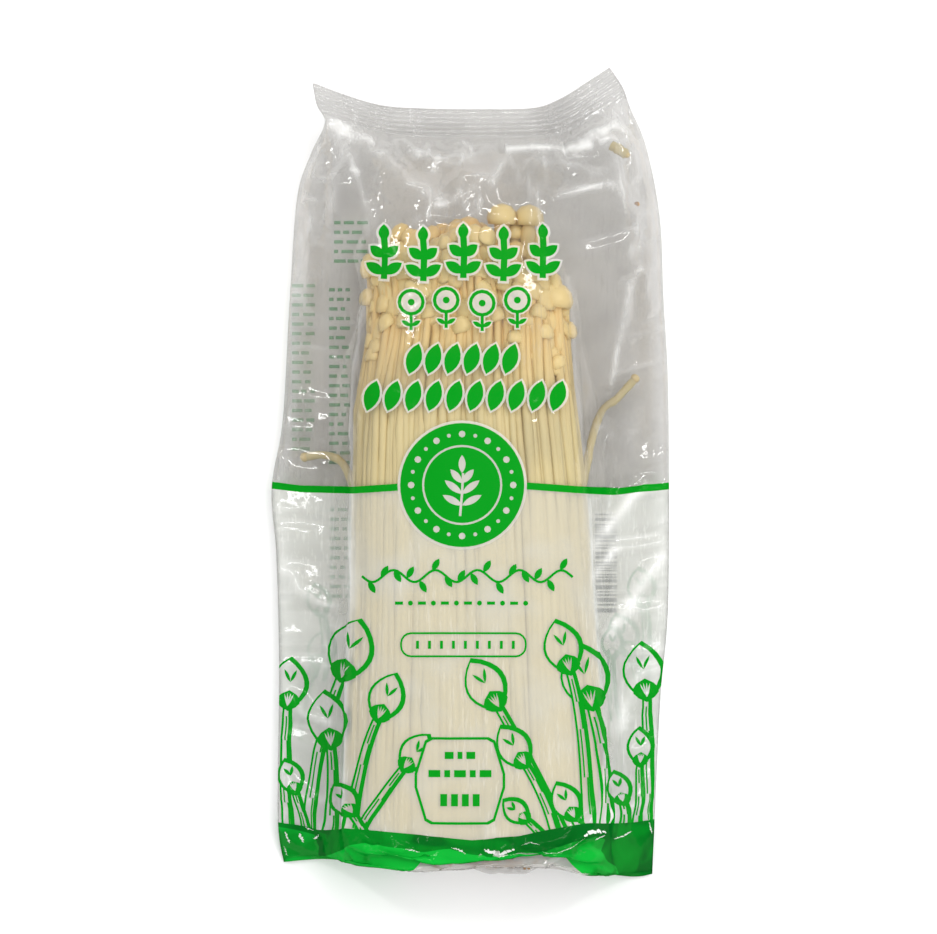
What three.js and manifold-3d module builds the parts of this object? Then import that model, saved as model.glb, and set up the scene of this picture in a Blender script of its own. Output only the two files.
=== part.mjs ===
// A bunch of enoki mushrooms in its film bag, lying on its back.
// Millimetres. +X to the bunch's right, +Y from the root to the caps, +Z up out of the surface it lies on.
// The origin is on that surface, under the middle of the bag.
import * as THREE from 'three';
import { mergeVertices } from 'three/addons/utils/BufferGeometryUtils.js';
import Module from 'manifold-3d';

// The bag, laid flat. Each edge is a smooth line through a few points, [x, y].
const BAG = {
  bottomEdge: [[-41.7, -87.9], [-27, -87.3], [-6.6, -89.3], [10, -88.6], [27.4, -89.3], [41.4, -91]],
  topEdge: [[-35.6, 88.1], [-28.1, 85.4], [-20.2, 83.2], [-11, 82.5], [2.5, 82.3], [14.5, 82.6], [20.6, 84.7],
    [26.3, 88.2], [31.5, 91.5]],
  leftEdge: [[-41.7, -87.9], [-43.5, -78.4], [-43.4, -45], [-44, -19.5], [-45.1, -3.6], [-42.6, 12],
    [-41, 39.4], [-39.2, 62.1], [-36, 72], [-32.8, 79], [-34.6, 83], [-35.6, 88.1]],
  rightEdge: [[41.4, -91], [42.1, -76], [43.3, -51], [45.1, -28.5], [45.1, 16.8], [44, 39.4], [43.1, 57.6],
    [39.9, 73.4], [36.2, 82.3], [34.5, 87], [31.5, 91.5]],
  wall: 0.6,
  bottomHeight: 1.2, // of the bottom edge above the surface
  foldHeight: 5, // of the side folds
  foldStart: 0.06, // the share of the length in which they rise from the bottom edge
  sealHeight: 10, // of the middle of the top seal
  sealCornerRise: 3.5,
  sealRise: [0.72, 0.96], // the shares of the length between which the folds rise to the seal
  backRise: 0.83, // the share of the length from which the back film rises to the seal
  backCurl: 0.78, // how far out from the middle the back film starts to rise to the folds
  sideAir: 4, // how far the front film stands off the side folds beside the bunch
  topAir: 17, // and off the seal above the caps
  airRise: [0.55, 0.84], // the shares of the length between which it grows from one to the other
  pastCaps: [55, 68], // the stretch along Y in which the film leaves the caps
  fillet: 2.5, // where the film on the bunch meets the film beside it
  drape: 1.85, // from the stems to the outside of the film over them
  drapeSlope: 2.6, // of the film beside the bunch, from its middle down to the wings
  endTurn: 4.5, // the length in which the film turns down over the root end
  halfColumns: [0, 0.025, 0.07, 0.12, 0.16, 0.193, 0.225, 0.27, 0.34, 0.42, 0.5], // shares of the width
  endRows: [0, 0.5, 1.4, 2.8, 4.6, 9, 17], // from the bottom edge
  rowStep: 11,
};
const TOP_SEAL = { width: 7.2, ribs: 4, ribDepth: 0.3, thickness: 0.9 };
// The film that is folded under the root end.
const END_TAB = { left: -14, right: 34, reach: 2.6, lap: 8, thickness: 0.7, lift: 0.4 };
const VENT = { across: 0.935, along: 0.84, radius: 0.8, depth: 6, sides: 8 }; // a pinhole in the front film

// The bunch. Its cross-section is a rounded oblong whose half sizes change along Y.
const BUNCH = {
  rootEnd: -84.3,
  halfWidth: [[-84, 29.8], [-60, 29], [-30, 27.2], [-3, 26.3], [20, 25.4], [40, 23.4], [49, 23.4], [62, 21]],
  halfHeight: [[-84, 13.6], [-40, 13.6], [10, 13.2], [40, 12.4], [62, 11]],
  middle: [[-84, 1.4], [-30, 0.5], [-3, -0.2], [20, -1.1], [40, 0], [49, -2.4], [62, -2]],
  tipLine: [[-26, 49], [-18, 52], [0, 54.5], [12, 52.5], [19, 47], [24, 43]], // the highest tips, by x
  squareness: 2.7, // 2 is an ellipse
  lowest: 1.6,
  inset: 1.15, // of the outer stems' middles
  coreInset: 2.3,
  coreTop: 26,
  coreSides: 22,
  rootBlock: 15, // the stretch at the root end where the stems have grown together
};
const STEM = {
  radius: 1.05,
  spread: 0.18, // how much thinner the thinnest is, as a share
  flare: 0.15, // how much thicker a stem is under its cap, as a share
  sides: 5,
  swayLength: 70,
  root: -82.5,
  leanLength: 45, // the stretch below the cap in which a stem leans in to make room for it
};
// Rings of stems from the outside in: how many, how far out, how far their tips are below the tip line, the Y
// that they start from, the steps along each and how far it sways.
const RINGS = [
  { stems: 42, out: 1, below: [0, 27], from: STEM.root, steps: 3, sway: 0.22 },
  { stems: 20, out: 0.76, below: [0, 13], from: 12, steps: 1, sway: 0.45 },
  { stems: 12, out: 0.5, below: [0, 9], from: 16, steps: 1, sway: 0.45 },
  { stems: 5, out: 0.2, below: [0, 6], from: 18, steps: 1, sway: 0.45 },
];
const CAP = { radius: 2.4, spread: 0.9, sides: 6, height: 1.2, rim: 0.32 };
const TALL_STEMS = [ // [x, z above the surface, tip, cap radius]
  [7.3, 16, 56.8, 3.4],
  [13.8, 14.5, 56.4, 3.1],
];
const TALL = { radius: 1.6, foot: 15, footSpread: 0.7, footDrop: 3 }; // where they come out of the bunch
const STRAY_STEMS = [ // stems that have sprung clear of the bunch, as points along them
  [[22, -20, 12], [25, -6, 9], [27.4, 6, 6.6], [30, 14, 4.8], [33.4, 16.8, 4.2], [37.4, 21.3, 4.4]],
  [[-22, -24, 12], [-25, -9, 9], [-28.4, 1.4, 5.8], [-33, 4, 4.4], [-37.4, 3.5, 4.3]],
];
const STRAY = { radius: 0.88, sides: 6, steps: 7, capRadius: 1.3 };
const SEED = 20240611;

const wasm = await Module();
wasm.setup();

// Numbers from 0 to 1 that come out the same each time.
function seededRandom(seed) {
  let state = seed;
  return () => {
    state = (state + 0x6d2b79f5) | 0;
    let bits = Math.imul(state ^ (state >>> 15), 1 | state);
    bits = (bits + Math.imul(bits ^ (bits >>> 7), 61 | bits)) ^ bits;
    return ((bits ^ (bits >>> 14)) >>> 0) / 4294967296;
  };
}
const random = seededRandom(SEED);
const between = (low, high) => low + (high - low) * random();

// The value at y of a table of [y, value] rows, by straight lines.
function valueAt(table, y) {
  if (y <= table[0][0]) return table[0][1];
  for (let i = 1; i < table.length; i++) {
    const [y0, v0] = table[i - 1];
    const [y1, v1] = table[i];
    if (y <= y1) return v0 + ((v1 - v0) * (y - y0)) / (y1 - y0);
  }
  return table[table.length - 1][1];
}

const smoothStep = (low, high, x) => THREE.MathUtils.smoothstep(x, low, high);

// The larger of a and b, with a fillet of about this size where they cross.
function filletMax(a, b, size) {
  const share = THREE.MathUtils.clamp(0.5 + (0.5 * (a - b)) / size, 0, 1);
  return b + (a - b) * share + size * share * (1 - share);
}

// --- solids from meshes and back ---

function solidOf(geometry) {
  const bare = new THREE.BufferGeometry();
  bare.setAttribute('position', geometry.getAttribute('position'));
  if (geometry.index) bare.setIndex(geometry.index);
  const merged = mergeVertices(bare, 1e-4);
  return new wasm.Manifold(new wasm.Mesh({
    numProp: 3,
    vertProperties: new Float32Array(merged.attributes.position.array),
    triVerts: new Uint32Array(merged.index.array),
  }));
}

// The triangles of a solid's largest skin. A hollow that the joining has sealed is left out, and so filled.
function largestSkin(triangles, vertexCount) {
  const owner = Array.from({ length: vertexCount }, (_, i) => i);
  const find = (i) => {
    let root = i;
    while (owner[root] !== root) root = owner[root];
    while (owner[i] !== root) [owner[i], i] = [root, owner[i]];
    return root;
  };
  for (let i = 0; i < triangles.length; i += 3) {
    owner[find(triangles[i + 1])] = find(triangles[i]);
    owner[find(triangles[i + 2])] = find(triangles[i]);
  }
  const skins = new Map();
  for (let i = 0; i < triangles.length; i += 3) {
    const skin = find(triangles[i]);
    if (!skins.has(skin)) skins.set(skin, []);
    skins.get(skin).push(triangles[i], triangles[i + 1], triangles[i + 2]);
  }
  return [...skins.values()].sort((a, b) => b.length - a.length)[0];
}

function geometryOf(solid) {
  const mesh = solid.getMesh();
  const geometry = new THREE.BufferGeometry();
  geometry.setAttribute('position', new THREE.BufferAttribute(mesh.vertProperties, 3));
  geometry.setIndex(largestSkin(mesh.triVerts, mesh.vertProperties.length / 3));
  geometry.computeVertexNormals();
  return geometry;
}

// Joins solids in pairs, which is quicker than one after another.
function joined(solids) {
  let left = solids;
  while (left.length > 1) {
    const next = [];
    for (let i = 0; i < left.length; i += 2) {
      next.push(i + 1 < left.length ? left[i].add(left[i + 1]) : left[i]);
    }
    left = next;
  }
  return left[0];
}

// A closed skin over rings of points, which all have the same number of points.
function loft(rings) {
  const count = rings[0].length;
  const positions = rings.flat().flatMap((p) => [p.x, p.y, p.z]);
  const faces = [];
  for (let r = 0; r + 1 < rings.length; r++) {
    for (let i = 0; i < count; i++) {
      const a = r * count + i;
      const b = r * count + ((i + 1) % count);
      faces.push(a, b, a + count, b, b + count, a + count);
    }
  }
  const last = (rings.length - 1) * count;
  for (let i = 1; i + 1 < count; i++) {
    faces.push(0, i + 1, i);
    faces.push(last, last + i, last + i + 1);
  }
  const geometry = new THREE.BufferGeometry();
  geometry.setAttribute('position', new THREE.Float32BufferAttribute(positions, 3));
  geometry.setIndex(faces);
  return geometry;
}

// --- the mushroom bunch ---

const bunchMiddle = (y) => valueAt(BUNCH.middle, y);

// The point of the bunch's cross-section at y, this far round it and this far out; 1 is the stems' own ring.
function bunchPoint(angle, out, y, inset = BUNCH.inset) {
  const power = 2 / BUNCH.squareness;
  const across = Math.sign(Math.cos(angle)) * Math.abs(Math.cos(angle)) ** power;
  const up = Math.sign(Math.sin(angle)) * Math.abs(Math.sin(angle)) ** power;
  const halfWidth = valueAt(BUNCH.halfWidth, y) - inset;
  const halfHeight = valueAt(BUNCH.halfHeight, y) - inset;
  return new THREE.Vector3(
    bunchMiddle(y) + halfWidth * out * across,
    y,
    BUNCH.lowest + valueAt(BUNCH.halfHeight, y) + halfHeight * out * up,
  );
}

// The angles of evenly spaced points round the cross-section.
function evenAngles(count, out) {
  const fine = 720;
  const points = Array.from({ length: fine + 1 }, (_, i) => bunchPoint((2 * Math.PI * i) / fine, out, 0));
  const lengths = [0];
  for (let i = 1; i <= fine; i++) lengths.push(lengths[i - 1] + points[i].distanceTo(points[i - 1]));
  return Array.from({ length: count }, (_, k) => {
    const wanted = (lengths[fine] * (k + 0.5)) / count;
    return (2 * Math.PI * lengths.findIndex((length) => length >= wanted)) / fine;
  });
}

// A round stem along a line of points.
function stemSolid(points, radii, sides) {
  const rings = points.map((point, i) => {
    const ahead = points[Math.min(i + 1, points.length - 1)];
    const behind = points[Math.max(i - 1, 0)];
    const along = ahead.clone().sub(behind).normalize();
    const turn = new THREE.Quaternion().setFromUnitVectors(new THREE.Vector3(0, 1, 0), along);
    return Array.from({ length: sides }, (_, k) => {
      const angle = (-2 * Math.PI * k) / sides;
      const spoke = new THREE.Vector3(Math.cos(angle), 0, Math.sin(angle)).multiplyScalar(radii[i]);
      return spoke.applyQuaternion(turn).add(point);
    });
  });
  return solidOf(loft(rings));
}

// A button cap: a dome with a rounded rim, on the tip of its stem.
function capSolid(tip, along, radius) {
  const profile = [
    [0, -0.05],
    [1, CAP.rim],
    [0.74, 0.74 * CAP.height],
    [0, CAP.height],
  ].map(([across, up]) => new THREE.Vector2(across * radius, up * radius));
  const cap = new THREE.LatheGeometry(profile, CAP.sides);
  const turn = new THREE.Quaternion().setFromUnitVectors(new THREE.Vector3(0, 1, 0), along);
  cap.applyQuaternion(turn);
  cap.translate(tip.x, tip.y, tip.z);
  return solidOf(cap);
}

function stemWithCap(line, radius, sides, steps, capRadius) {
  const points = line.getSpacedPoints(steps);
  const radii = points.map((_, i) => radius * (1 + (STEM.flare * i) / steps));
  const along = line.getTangentAt(1);
  const tip = points[steps];
  return [stemSolid(points, radii, sides), capSolid(tip, along, capRadius)];
}

function ringStems() {
  const solids = [];
  for (const ring of RINGS) {
    for (const angle of evenAngles(ring.stems, ring.out)) {
      const { x } = bunchPoint(angle, ring.out, BUNCH.coreTop);
      const tip = valueAt(BUNCH.tipLine, x) - between(...ring.below);
      const phase = between(0, 2 * Math.PI);
      const radius = STEM.radius * between(1 - STEM.spread, 1);
      const capRadius = CAP.radius + between(-CAP.spread, CAP.spread) / 2;
      // A cap is wider than its stem, so the outer stems lean in by the difference under it.
      const lean = (ring.out * Math.max(0, capRadius - BUNCH.inset)) / valueAt(BUNCH.halfHeight, tip);
      const points = [];
      for (let k = 0; k <= ring.steps; k++) {
        const y = ring.from + ((tip - ring.from) * k) / ring.steps;
        const leanHere = lean * smoothStep(tip - STEM.leanLength, tip, y);
        const point = bunchPoint(angle, ring.out - leanHere, y);
        point.x += ring.sway * Math.sin((2 * Math.PI * y) / STEM.swayLength + phase);
        points.push(point);
      }
      const line = new THREE.CatmullRomCurve3(points);
      solids.push(...stemWithCap(line, radius, STEM.sides, ring.steps, capRadius));
    }
  }
  return solids;
}

function tallStems() {
  return TALL_STEMS.flatMap(([x, z, tip, capRadius]) => {
    const foot = new THREE.Vector3(x * TALL.footSpread, TALL.foot, z - TALL.footDrop);
    const line = new THREE.LineCurve3(foot, new THREE.Vector3(x, tip, z));
    return stemWithCap(line, TALL.radius, STEM.sides + 1, 1, capRadius);
  });
}

function strayStems() {
  return STRAY_STEMS.flatMap((stray) => {
    const line = new THREE.CatmullRomCurve3(stray.map((p) => new THREE.Vector3(...p)));
    return stemWithCap(line, STRAY.radius, STRAY.sides, STRAY.steps, STRAY.capRadius);
  });
}

// What the stems stand out of: the mass of the inner stems, and the root block that swells to the full size.
function coreSolid() {
  const { rootEnd, rootBlock, coreTop, coreInset } = BUNCH;
  const stations = [
    [rootEnd, 1.6],
    [rootEnd + 1.5, 0.5],
    [rootEnd + 0.6 * rootBlock, 0.6],
    [rootEnd + rootBlock, coreInset],
    [rootEnd + 3 * rootBlock, coreInset],
    [0, coreInset],
    [coreTop / 2, coreInset],
    [coreTop, coreInset + 2],
  ];
  const rings = stations.map(([y, inset]) => Array.from({ length: BUNCH.coreSides }, (_, k) => (
    bunchPoint((-2 * Math.PI * k) / BUNCH.coreSides, 1, y, inset)
  )));
  return solidOf(loft(rings));
}

function mushroomBunch() {
  return joined([coreSolid(), ...ringStems(), ...tallStems(), ...strayStems()]);
}

// --- the film bag ---

const edgeLine = (points) => new THREE.SplineCurve(points.map(([x, y]) => new THREE.Vector2(x, y)));
const bottomEdge = edgeLine(BAG.bottomEdge);
const topEdge = edgeLine(BAG.topEdge);
const leftEdge = edgeLine(BAG.leftEdge);
const rightEdge = edgeLine(BAG.rightEdge);
const BAG_LENGTH = (leftEdge.getLength() + rightEdge.getLength()) / 2;

// The place in the flat outline at shares s across, from the left, and t along, from the bottom edge.
function outlinePoint(s, t) {
  const [bottom, top, left, right] = [
    bottomEdge.getPointAt(s), topEdge.getPointAt(s), leftEdge.getPointAt(t), rightEdge.getPointAt(t),
  ];
  const corner = (line, share) => line.getPointAt(share);
  const mix = (axis) => (1 - t) * bottom[axis] + t * top[axis] + (1 - s) * left[axis] + s * right[axis]
    - (1 - s) * (1 - t) * corner(bottomEdge, 0)[axis] - s * (1 - t) * corner(bottomEdge, 1)[axis]
    - (1 - s) * t * corner(topEdge, 0)[axis] - s * t * corner(topEdge, 1)[axis];
  return new THREE.Vector2(mix('x'), mix('y'));
}

// How high the side folds and the seal stand.
function foldHeight(s, t) {
  const across = Math.abs(2 * s - 1);
  const seal = BAG.sealHeight + BAG.sealCornerRise * across ** 3;
  const low = THREE.MathUtils.lerp(BAG.bottomHeight, BAG.foldHeight, smoothStep(0, BAG.foldStart, t));
  return THREE.MathUtils.lerp(low, seal, smoothStep(...BAG.sealRise, t));
}

// The film lying on the bunch, and going down beside it.
function drapeHeight(x, y) {
  const middleHeight = BUNCH.lowest + valueAt(BUNCH.halfHeight, y);
  const halfWidth = valueAt(BUNCH.halfWidth, y) + BAG.drape;
  const rise = valueAt(BUNCH.halfHeight, y) + BAG.drape;
  const out = Math.abs(x - bunchMiddle(y)) / halfWidth;
  if (out >= 1) return middleHeight - (out - 1) * halfWidth * BAG.drapeSlope;
  return middleHeight + rise * (1 - out ** BUNCH.squareness) ** (1 / BUNCH.squareness);
}

// The outside of the front film: pillowed by air, and draped over the bunch.
function frontHeight(s, t, x, y) {
  const fold = foldHeight(s, t);
  const across = Math.abs(2 * s - 1);
  const sealStart = 1 - TOP_SEAL.width / BAG_LENGTH;
  const air = THREE.MathUtils.lerp(BAG.sideAir, BAG.topAir, smoothStep(...BAG.airRise, t));
  const closing = THREE.MathUtils.clamp((t - BAG.airRise[1]) / (sealStart - BAG.airRise[1]), 0, 1);
  const pillow = fold + air * (1 - across ** 4) * (1 - closing ** 1.6);
  const draped = THREE.MathUtils.lerp(drapeHeight(x, y), 0, smoothStep(...BAG.pastCaps, y));
  const open = filletMax(pillow, draped, BAG.fillet);
  const end = THREE.MathUtils.clamp((t * BAG_LENGTH) / BAG.endTurn, 0, 1);
  return fold + (open - fold) * Math.sqrt(1 - (1 - end) ** 2);
}

// The outside of the back film: flat on the surface, and lifted up to the folds and the seal.
function backHeight(s, t) {
  const toFold = smoothStep(BAG.backCurl, 1, Math.abs(2 * s - 1));
  const toSeal = smoothStep(BAG.backRise, 1 - TOP_SEAL.width / BAG_LENGTH, t);
  return foldHeight(s, t) * Math.max(toFold, toSeal);
}

// Shares of the length at which the bag's rows lie: close at the root end and in the seal's ribs.
function bagRows() {
  const rows = [...BAG.endRows];
  const evenStart = rows[rows.length - 1];
  const sealStart = BAG_LENGTH - TOP_SEAL.width;
  const steps = Math.round((sealStart - evenStart) / BAG.rowStep);
  for (let i = 1; i <= steps; i++) rows.push(evenStart + ((sealStart - evenStart) * i) / steps);
  const sealRow = rows.length - 1;
  const ribRows = 2 * TOP_SEAL.ribs;
  for (let i = 1; i <= ribRows; i++) rows.push(sealStart + (TOP_SEAL.width * i) / ribRows);
  return { shares: rows.map((y) => y / BAG_LENGTH), sealRow };
}

const bagColumns = [...BAG.halfColumns, ...BAG.halfColumns.slice(0, -1).reverse().map((share) => 1 - share)];

// The closed skin over a grid of cells, each with a front and a back point. They meet on the grid's border.
function bagSkin(grid) {
  const rows = grid.length;
  const columns = grid[0].length;
  const onBorder = (r, c) => r === 0 || c === 0 || r === rows - 1 || c === columns - 1;
  const positions = [];
  for (const side of ['front', 'back']) {
    grid.forEach((row, r) => row.forEach((cell, c) => {
      const point = onBorder(r, c) ? cell.front.clone().lerp(cell.back, 0.5) : cell[side];
      positions.push(point.x, point.y, point.z);
    }));
  }
  const indexOf = (side, r, c) => (side === 'front' || onBorder(r, c) ? 0 : rows * columns) + r * columns + c;
  const faces = [];
  for (let r = 0; r + 1 < rows; r++) {
    for (let c = 0; c + 1 < columns; c++) {
      for (const side of ['front', 'back']) {
        const corners = [[r, c], [r, c + 1], [r + 1, c + 1], [r + 1, c]];
        if (side === 'back') corners.reverse();
        const [i, j, k, l] = corners.map(([row, column]) => indexOf(side, row, column));
        faces.push(i, j, k, i, k, l);
      }
    }
  }
  const geometry = new THREE.BufferGeometry();
  geometry.setAttribute('position', new THREE.Float32BufferAttribute(positions, 3));
  geometry.setIndex(faces);
  return geometry;
}

// The point of a grid of cells this far in from the skin, on the front or the back.
function insetPoint(grid, r, c, side, inset) {
  const across = grid[r][c + 1][side].clone().sub(grid[r][c - 1][side]);
  const along = grid[r + 1][c][side].clone().sub(grid[r - 1][c][side]);
  const inwards = across.cross(along).normalize().multiplyScalar(side === 'front' ? -inset : inset);
  return grid[r][c][side].clone().add(inwards);
}

function boxSolid(low, high) {
  const size = high.map((value, i) => value - low[i]);
  const box = new THREE.BoxGeometry(...size);
  box.translate(...low.map((value, i) => value + size[i] / 2));
  return solidOf(box);
}

// The outside of the bag as a grid of front and back points.
function bagGrid(shares, sealRow) {
  return shares.map((t, r) => bagColumns.map((s) => {
    const { x, y } = outlinePoint(s, t);
    let front = frontHeight(s, t, x, y);
    let back = Math.min(backHeight(s, t), front - 2 * BAG.wall);
    if (r >= sealRow) { // the welded strip, crimped into ribs
      const rib = ((r - sealRow) % 2 === 0 ? 0.5 : -0.5) * TOP_SEAL.ribDepth;
      front = foldHeight(s, t) + rib + TOP_SEAL.thickness / 2;
      back = front - TOP_SEAL.thickness;
    }
    return { front: new THREE.Vector3(x, y, front), back: new THREE.Vector3(x, y, Math.max(back, 0)) };
  }));
}

function endTabSolid() {
  const bottom = bottomEdge.getPointAt(0.5).y;
  return boxSolid(
    [END_TAB.left, bottom - END_TAB.reach, END_TAB.lift],
    [END_TAB.right, bottom + END_TAB.lap, END_TAB.lift + END_TAB.thickness],
  );
}

function ventSolid() {
  const { x, y } = outlinePoint(VENT.across, VENT.along);
  const hole = new THREE.CylinderGeometry(VENT.radius, VENT.radius, VENT.depth, VENT.sides);
  hole.rotateX(Math.PI / 2);
  hole.translate(x, y, frontHeight(VENT.across, VENT.along, x, y));
  return solidOf(hole);
}

function filmBag() {
  const { shares, sealRow } = bagRows();
  const outer = bagGrid(shares, sealRow);
  const last = bagColumns.length - 1;
  const inner = outer.slice(1, sealRow).map((row, i) => row.slice(1, last).map((_, j) => ({
    front: insetPoint(outer, i + 1, j + 1, 'front', BAG.wall),
    back: insetPoint(outer, i + 1, j + 1, 'back', BAG.wall),
  })));
  return solidOf(bagSkin(outer))
    .add(endTabSolid())
    .subtract(solidOf(bagSkin(inner)))
    .subtract(ventSolid());
}

// --- the whole part ---

function namedMesh(name, solid, material) {
  const mesh = new THREE.Mesh(geometryOf(solid), new THREE.MeshStandardMaterial(material));
  mesh.name = name;
  return mesh;
}

const part = new THREE.Group();
part.add(
  namedMesh('mushroom_bunch', mushroomBunch(), { color: 0xe3cf9c, roughness: 0.55, metalness: 0 }),
  namedMesh('film_bag', filmBag(), {
    color: 0xc9c8c4, roughness: 0.2, metalness: 0, transparent: true, opacity: 0.35,
  }),
);

// The origin goes to the surface, under the middle of the whole.
const box = new THREE.Box3().setFromObject(part);
const middle = box.getCenter(new THREE.Vector3());
part.position.set(-middle.x, -middle.y, -box.min.z);

export default part;
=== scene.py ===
import math

import bmesh
import bpy
import numpy as np
from mathutils import Matrix, Vector
from mathutils.bvhtree import BVHTree
from mathutils.geometry import delaunay_2d_cdt
from mathutils.kdtree import KDTree
from mathutils.noise import turbulence


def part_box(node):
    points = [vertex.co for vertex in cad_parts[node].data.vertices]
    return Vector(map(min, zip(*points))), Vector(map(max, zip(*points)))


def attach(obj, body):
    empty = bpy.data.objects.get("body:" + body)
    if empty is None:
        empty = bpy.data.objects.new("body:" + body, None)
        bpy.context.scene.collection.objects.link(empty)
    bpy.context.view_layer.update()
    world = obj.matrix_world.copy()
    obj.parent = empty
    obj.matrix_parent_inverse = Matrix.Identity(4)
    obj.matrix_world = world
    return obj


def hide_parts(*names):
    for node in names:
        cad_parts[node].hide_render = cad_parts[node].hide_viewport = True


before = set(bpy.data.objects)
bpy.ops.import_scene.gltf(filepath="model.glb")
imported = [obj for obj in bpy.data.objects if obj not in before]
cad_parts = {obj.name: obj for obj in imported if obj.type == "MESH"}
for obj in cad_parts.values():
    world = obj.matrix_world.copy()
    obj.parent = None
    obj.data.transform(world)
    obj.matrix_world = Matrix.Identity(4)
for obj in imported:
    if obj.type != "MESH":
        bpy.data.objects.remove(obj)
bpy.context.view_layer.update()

mm = 0.001
wholeTurn = 6.28
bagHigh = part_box("film_bag")[1]
drawingTop, drawingRight = 91.5, 45.28   # the bag's top and right-hand side, in the drawing's millimetres
shift = Vector((bagHigh.x - drawingRight * mm, bagHigh.y - drawingTop * mm, 0))   # from drawing to frame


def addNode(tree, kind, values=None, **settings):
    made = tree.nodes.new(kind)
    for name, value in settings.items():
        setattr(made, name, value)
    for key, value in (values or {}).items():
        if isinstance(value, bpy.types.NodeSocket):
            tree.links.new(value, made.inputs[key])
        else:
            made.inputs[key].default_value = value
    return made


def outputOf(tree, kind, values=None, **settings):
    return addNode(tree, kind, values, **settings).outputs[0]


def doMath(tree, operation, *terms, clamp=False):
    return outputOf(tree, "ShaderNodeMath", dict(enumerate(terms)), operation=operation, use_clamp=clamp)


def combined(tree, *terms):
    return outputOf(tree, "ShaderNodeCombineXYZ", dict(enumerate(terms)))


def inMetres(values):
    return [value * mm for value in values]


def mapRange(tree, value, fromRange, toRange=(0.0, 1.0), smooth=False):
    ends = dict(zip(("From Min", "From Max", "To Min", "To Max"), (*fromRange, *toRange)))
    return outputOf(tree, "ShaderNodeMapRange", {"Value": value, **ends},
                    interpolation_type="SMOOTHSTEP" if smooth else "LINEAR")


def smoothStep(low, high, x):
    share = np.clip((x - low) / (high - low), 0, 1)
    return share * share * (3 - 2 * share)


def valueAt(table, y):
    return np.interp(y, [row[0] for row in table], [row[1] for row in table])


def addMesh(name, verts, faces, materials):
    mesh = bpy.data.meshes.new(name)
    mesh.from_pydata([tuple(v) for v in verts], [], [tuple(f) for f in faces])
    for material in materials:
        mesh.materials.append(material)
    mesh.polygons.foreach_set("use_smooth", [True] * len(mesh.polygons))
    mesh.update()
    made = bpy.data.objects.new(name, mesh)
    bpy.context.scene.collection.objects.link(made)
    return made


def storeOn(mesh, name, values):
    mesh.attributes.new(name, "FLOAT", "POINT").data.foreach_set("value", values)


studio = {
    "render": (937, 934),
    "pixel": 0.2266,          # millimetres to one pixel of the render, at the film's middle height
    "middle": (-0.34, 1.31),  # what the render's middle shows, in the drawing's millimetres
    "middleHeight": 9,
    "lens": 200,
    "sensor": 36,
    "floorGrey": 0.92,
    "floorSize": 6,
    "worldStrength": 0.76,
    "worldShine": 0.2,        # as bright as the surroundings are in reflections
    # the softboxes: name, place and size in metres, power, and whether they are seen in reflections
    "lamps": [("topLight", (0.46, 0.06, 1.35), (1.4, 1.2), 12.1, False),
              ("leftStrip", (-0.42, 0.32, 0.75), (0.05, 0.3), 1.0, True),
              ("rightStrip", (0.5, 0.3, 0.7), (0.04, 0.4), 1.0, True),
              ("backStrip", (0.05, 0.62, 0.7), (0.5, 0.04), 1.2, True)],
}
cameraDistance = studio["render"][0] * studio["pixel"] / studio["sensor"] * studio["lens"]


def makeCamera():
    lens = bpy.data.cameras.new("camera")
    lens.lens = studio["lens"]
    lens.sensor_width = studio["sensor"]
    lens.clip_end = 10
    camera = bpy.data.objects.new("camera", lens)
    x, y = studio["middle"]
    camera.location = Vector((x * mm, y * mm, (studio["middleHeight"] + cameraDistance) * mm)) + shift
    bpy.context.scene.collection.objects.link(camera)
    bpy.context.scene.camera = camera


def addSoftbox(name, place, size, power, mirrored):
    lamp = bpy.data.lights.new(name, "AREA")
    lamp.shape = "RECTANGLE"
    lamp.size, lamp.size_y = size
    lamp.energy = power
    box = bpy.data.objects.new(name, lamp)
    box.location = place
    box.visible_camera = False
    box.visible_glossy = mirrored
    box.rotation_euler = (-Vector(place)).to_track_quat("-Z", "Y").to_euler()
    bpy.context.scene.collection.objects.link(box)


def makeStudio():
    world = bpy.data.worlds.new("studio")
    world.use_nodes = True
    background = world.node_tree.nodes["Background"]
    background.inputs["Color"].default_value = (1, 1, 1, 1)
    ray = addNode(world.node_tree, "ShaderNodeLightPath").outputs["Is Glossy Ray"]
    strength = mapRange(world.node_tree, ray, (0.0, 1.0), (studio["worldStrength"], studio["worldShine"]))
    world.node_tree.links.new(strength, background.inputs["Strength"])
    bpy.context.scene.world = world
    bpy.context.scene.view_settings.view_transform = "Standard"
    for lamp in studio["lamps"]:
        addSoftbox(*lamp)
    bpy.ops.mesh.primitive_plane_add(size=studio["floorSize"])
    floor = bpy.context.object
    floor.name = "floor"
    paper = bpy.data.materials.new("paper")
    paper.use_nodes = True
    surface = paper.node_tree.nodes["Principled BSDF"]
    surface.inputs["Base Color"].default_value = (*[studio["floorGrey"]] * 3, 1)
    surface.inputs["Roughness"].default_value = 0.9
    surface.inputs["Specular IOR Level"].default_value = 0.2
    floor.data.materials.append(paper)


makeCamera()
makeStudio()
print("studio made")


def newMaterial(name):
    made = bpy.data.materials.new(name)
    made.use_nodes = True
    return made, made.node_tree, made.node_tree.nodes["Principled BSDF"]


def objectPoint(tree, scale=(1, 1, 1)):
    place = addNode(tree, "ShaderNodeTexCoord").outputs["Object"]
    return addNode(tree, "ShaderNodeMapping", {"Vector": place, "Scale": scale}).outputs["Vector"]


def noise(tree, place, scale, detail=3, roughness=0.5, distortion=0):
    return addNode(tree, "ShaderNodeTexNoise", {
        "Vector": place, "Scale": scale, "Detail": detail, "Roughness": roughness,
        "Distortion": distortion}).outputs["Fac"]


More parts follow.
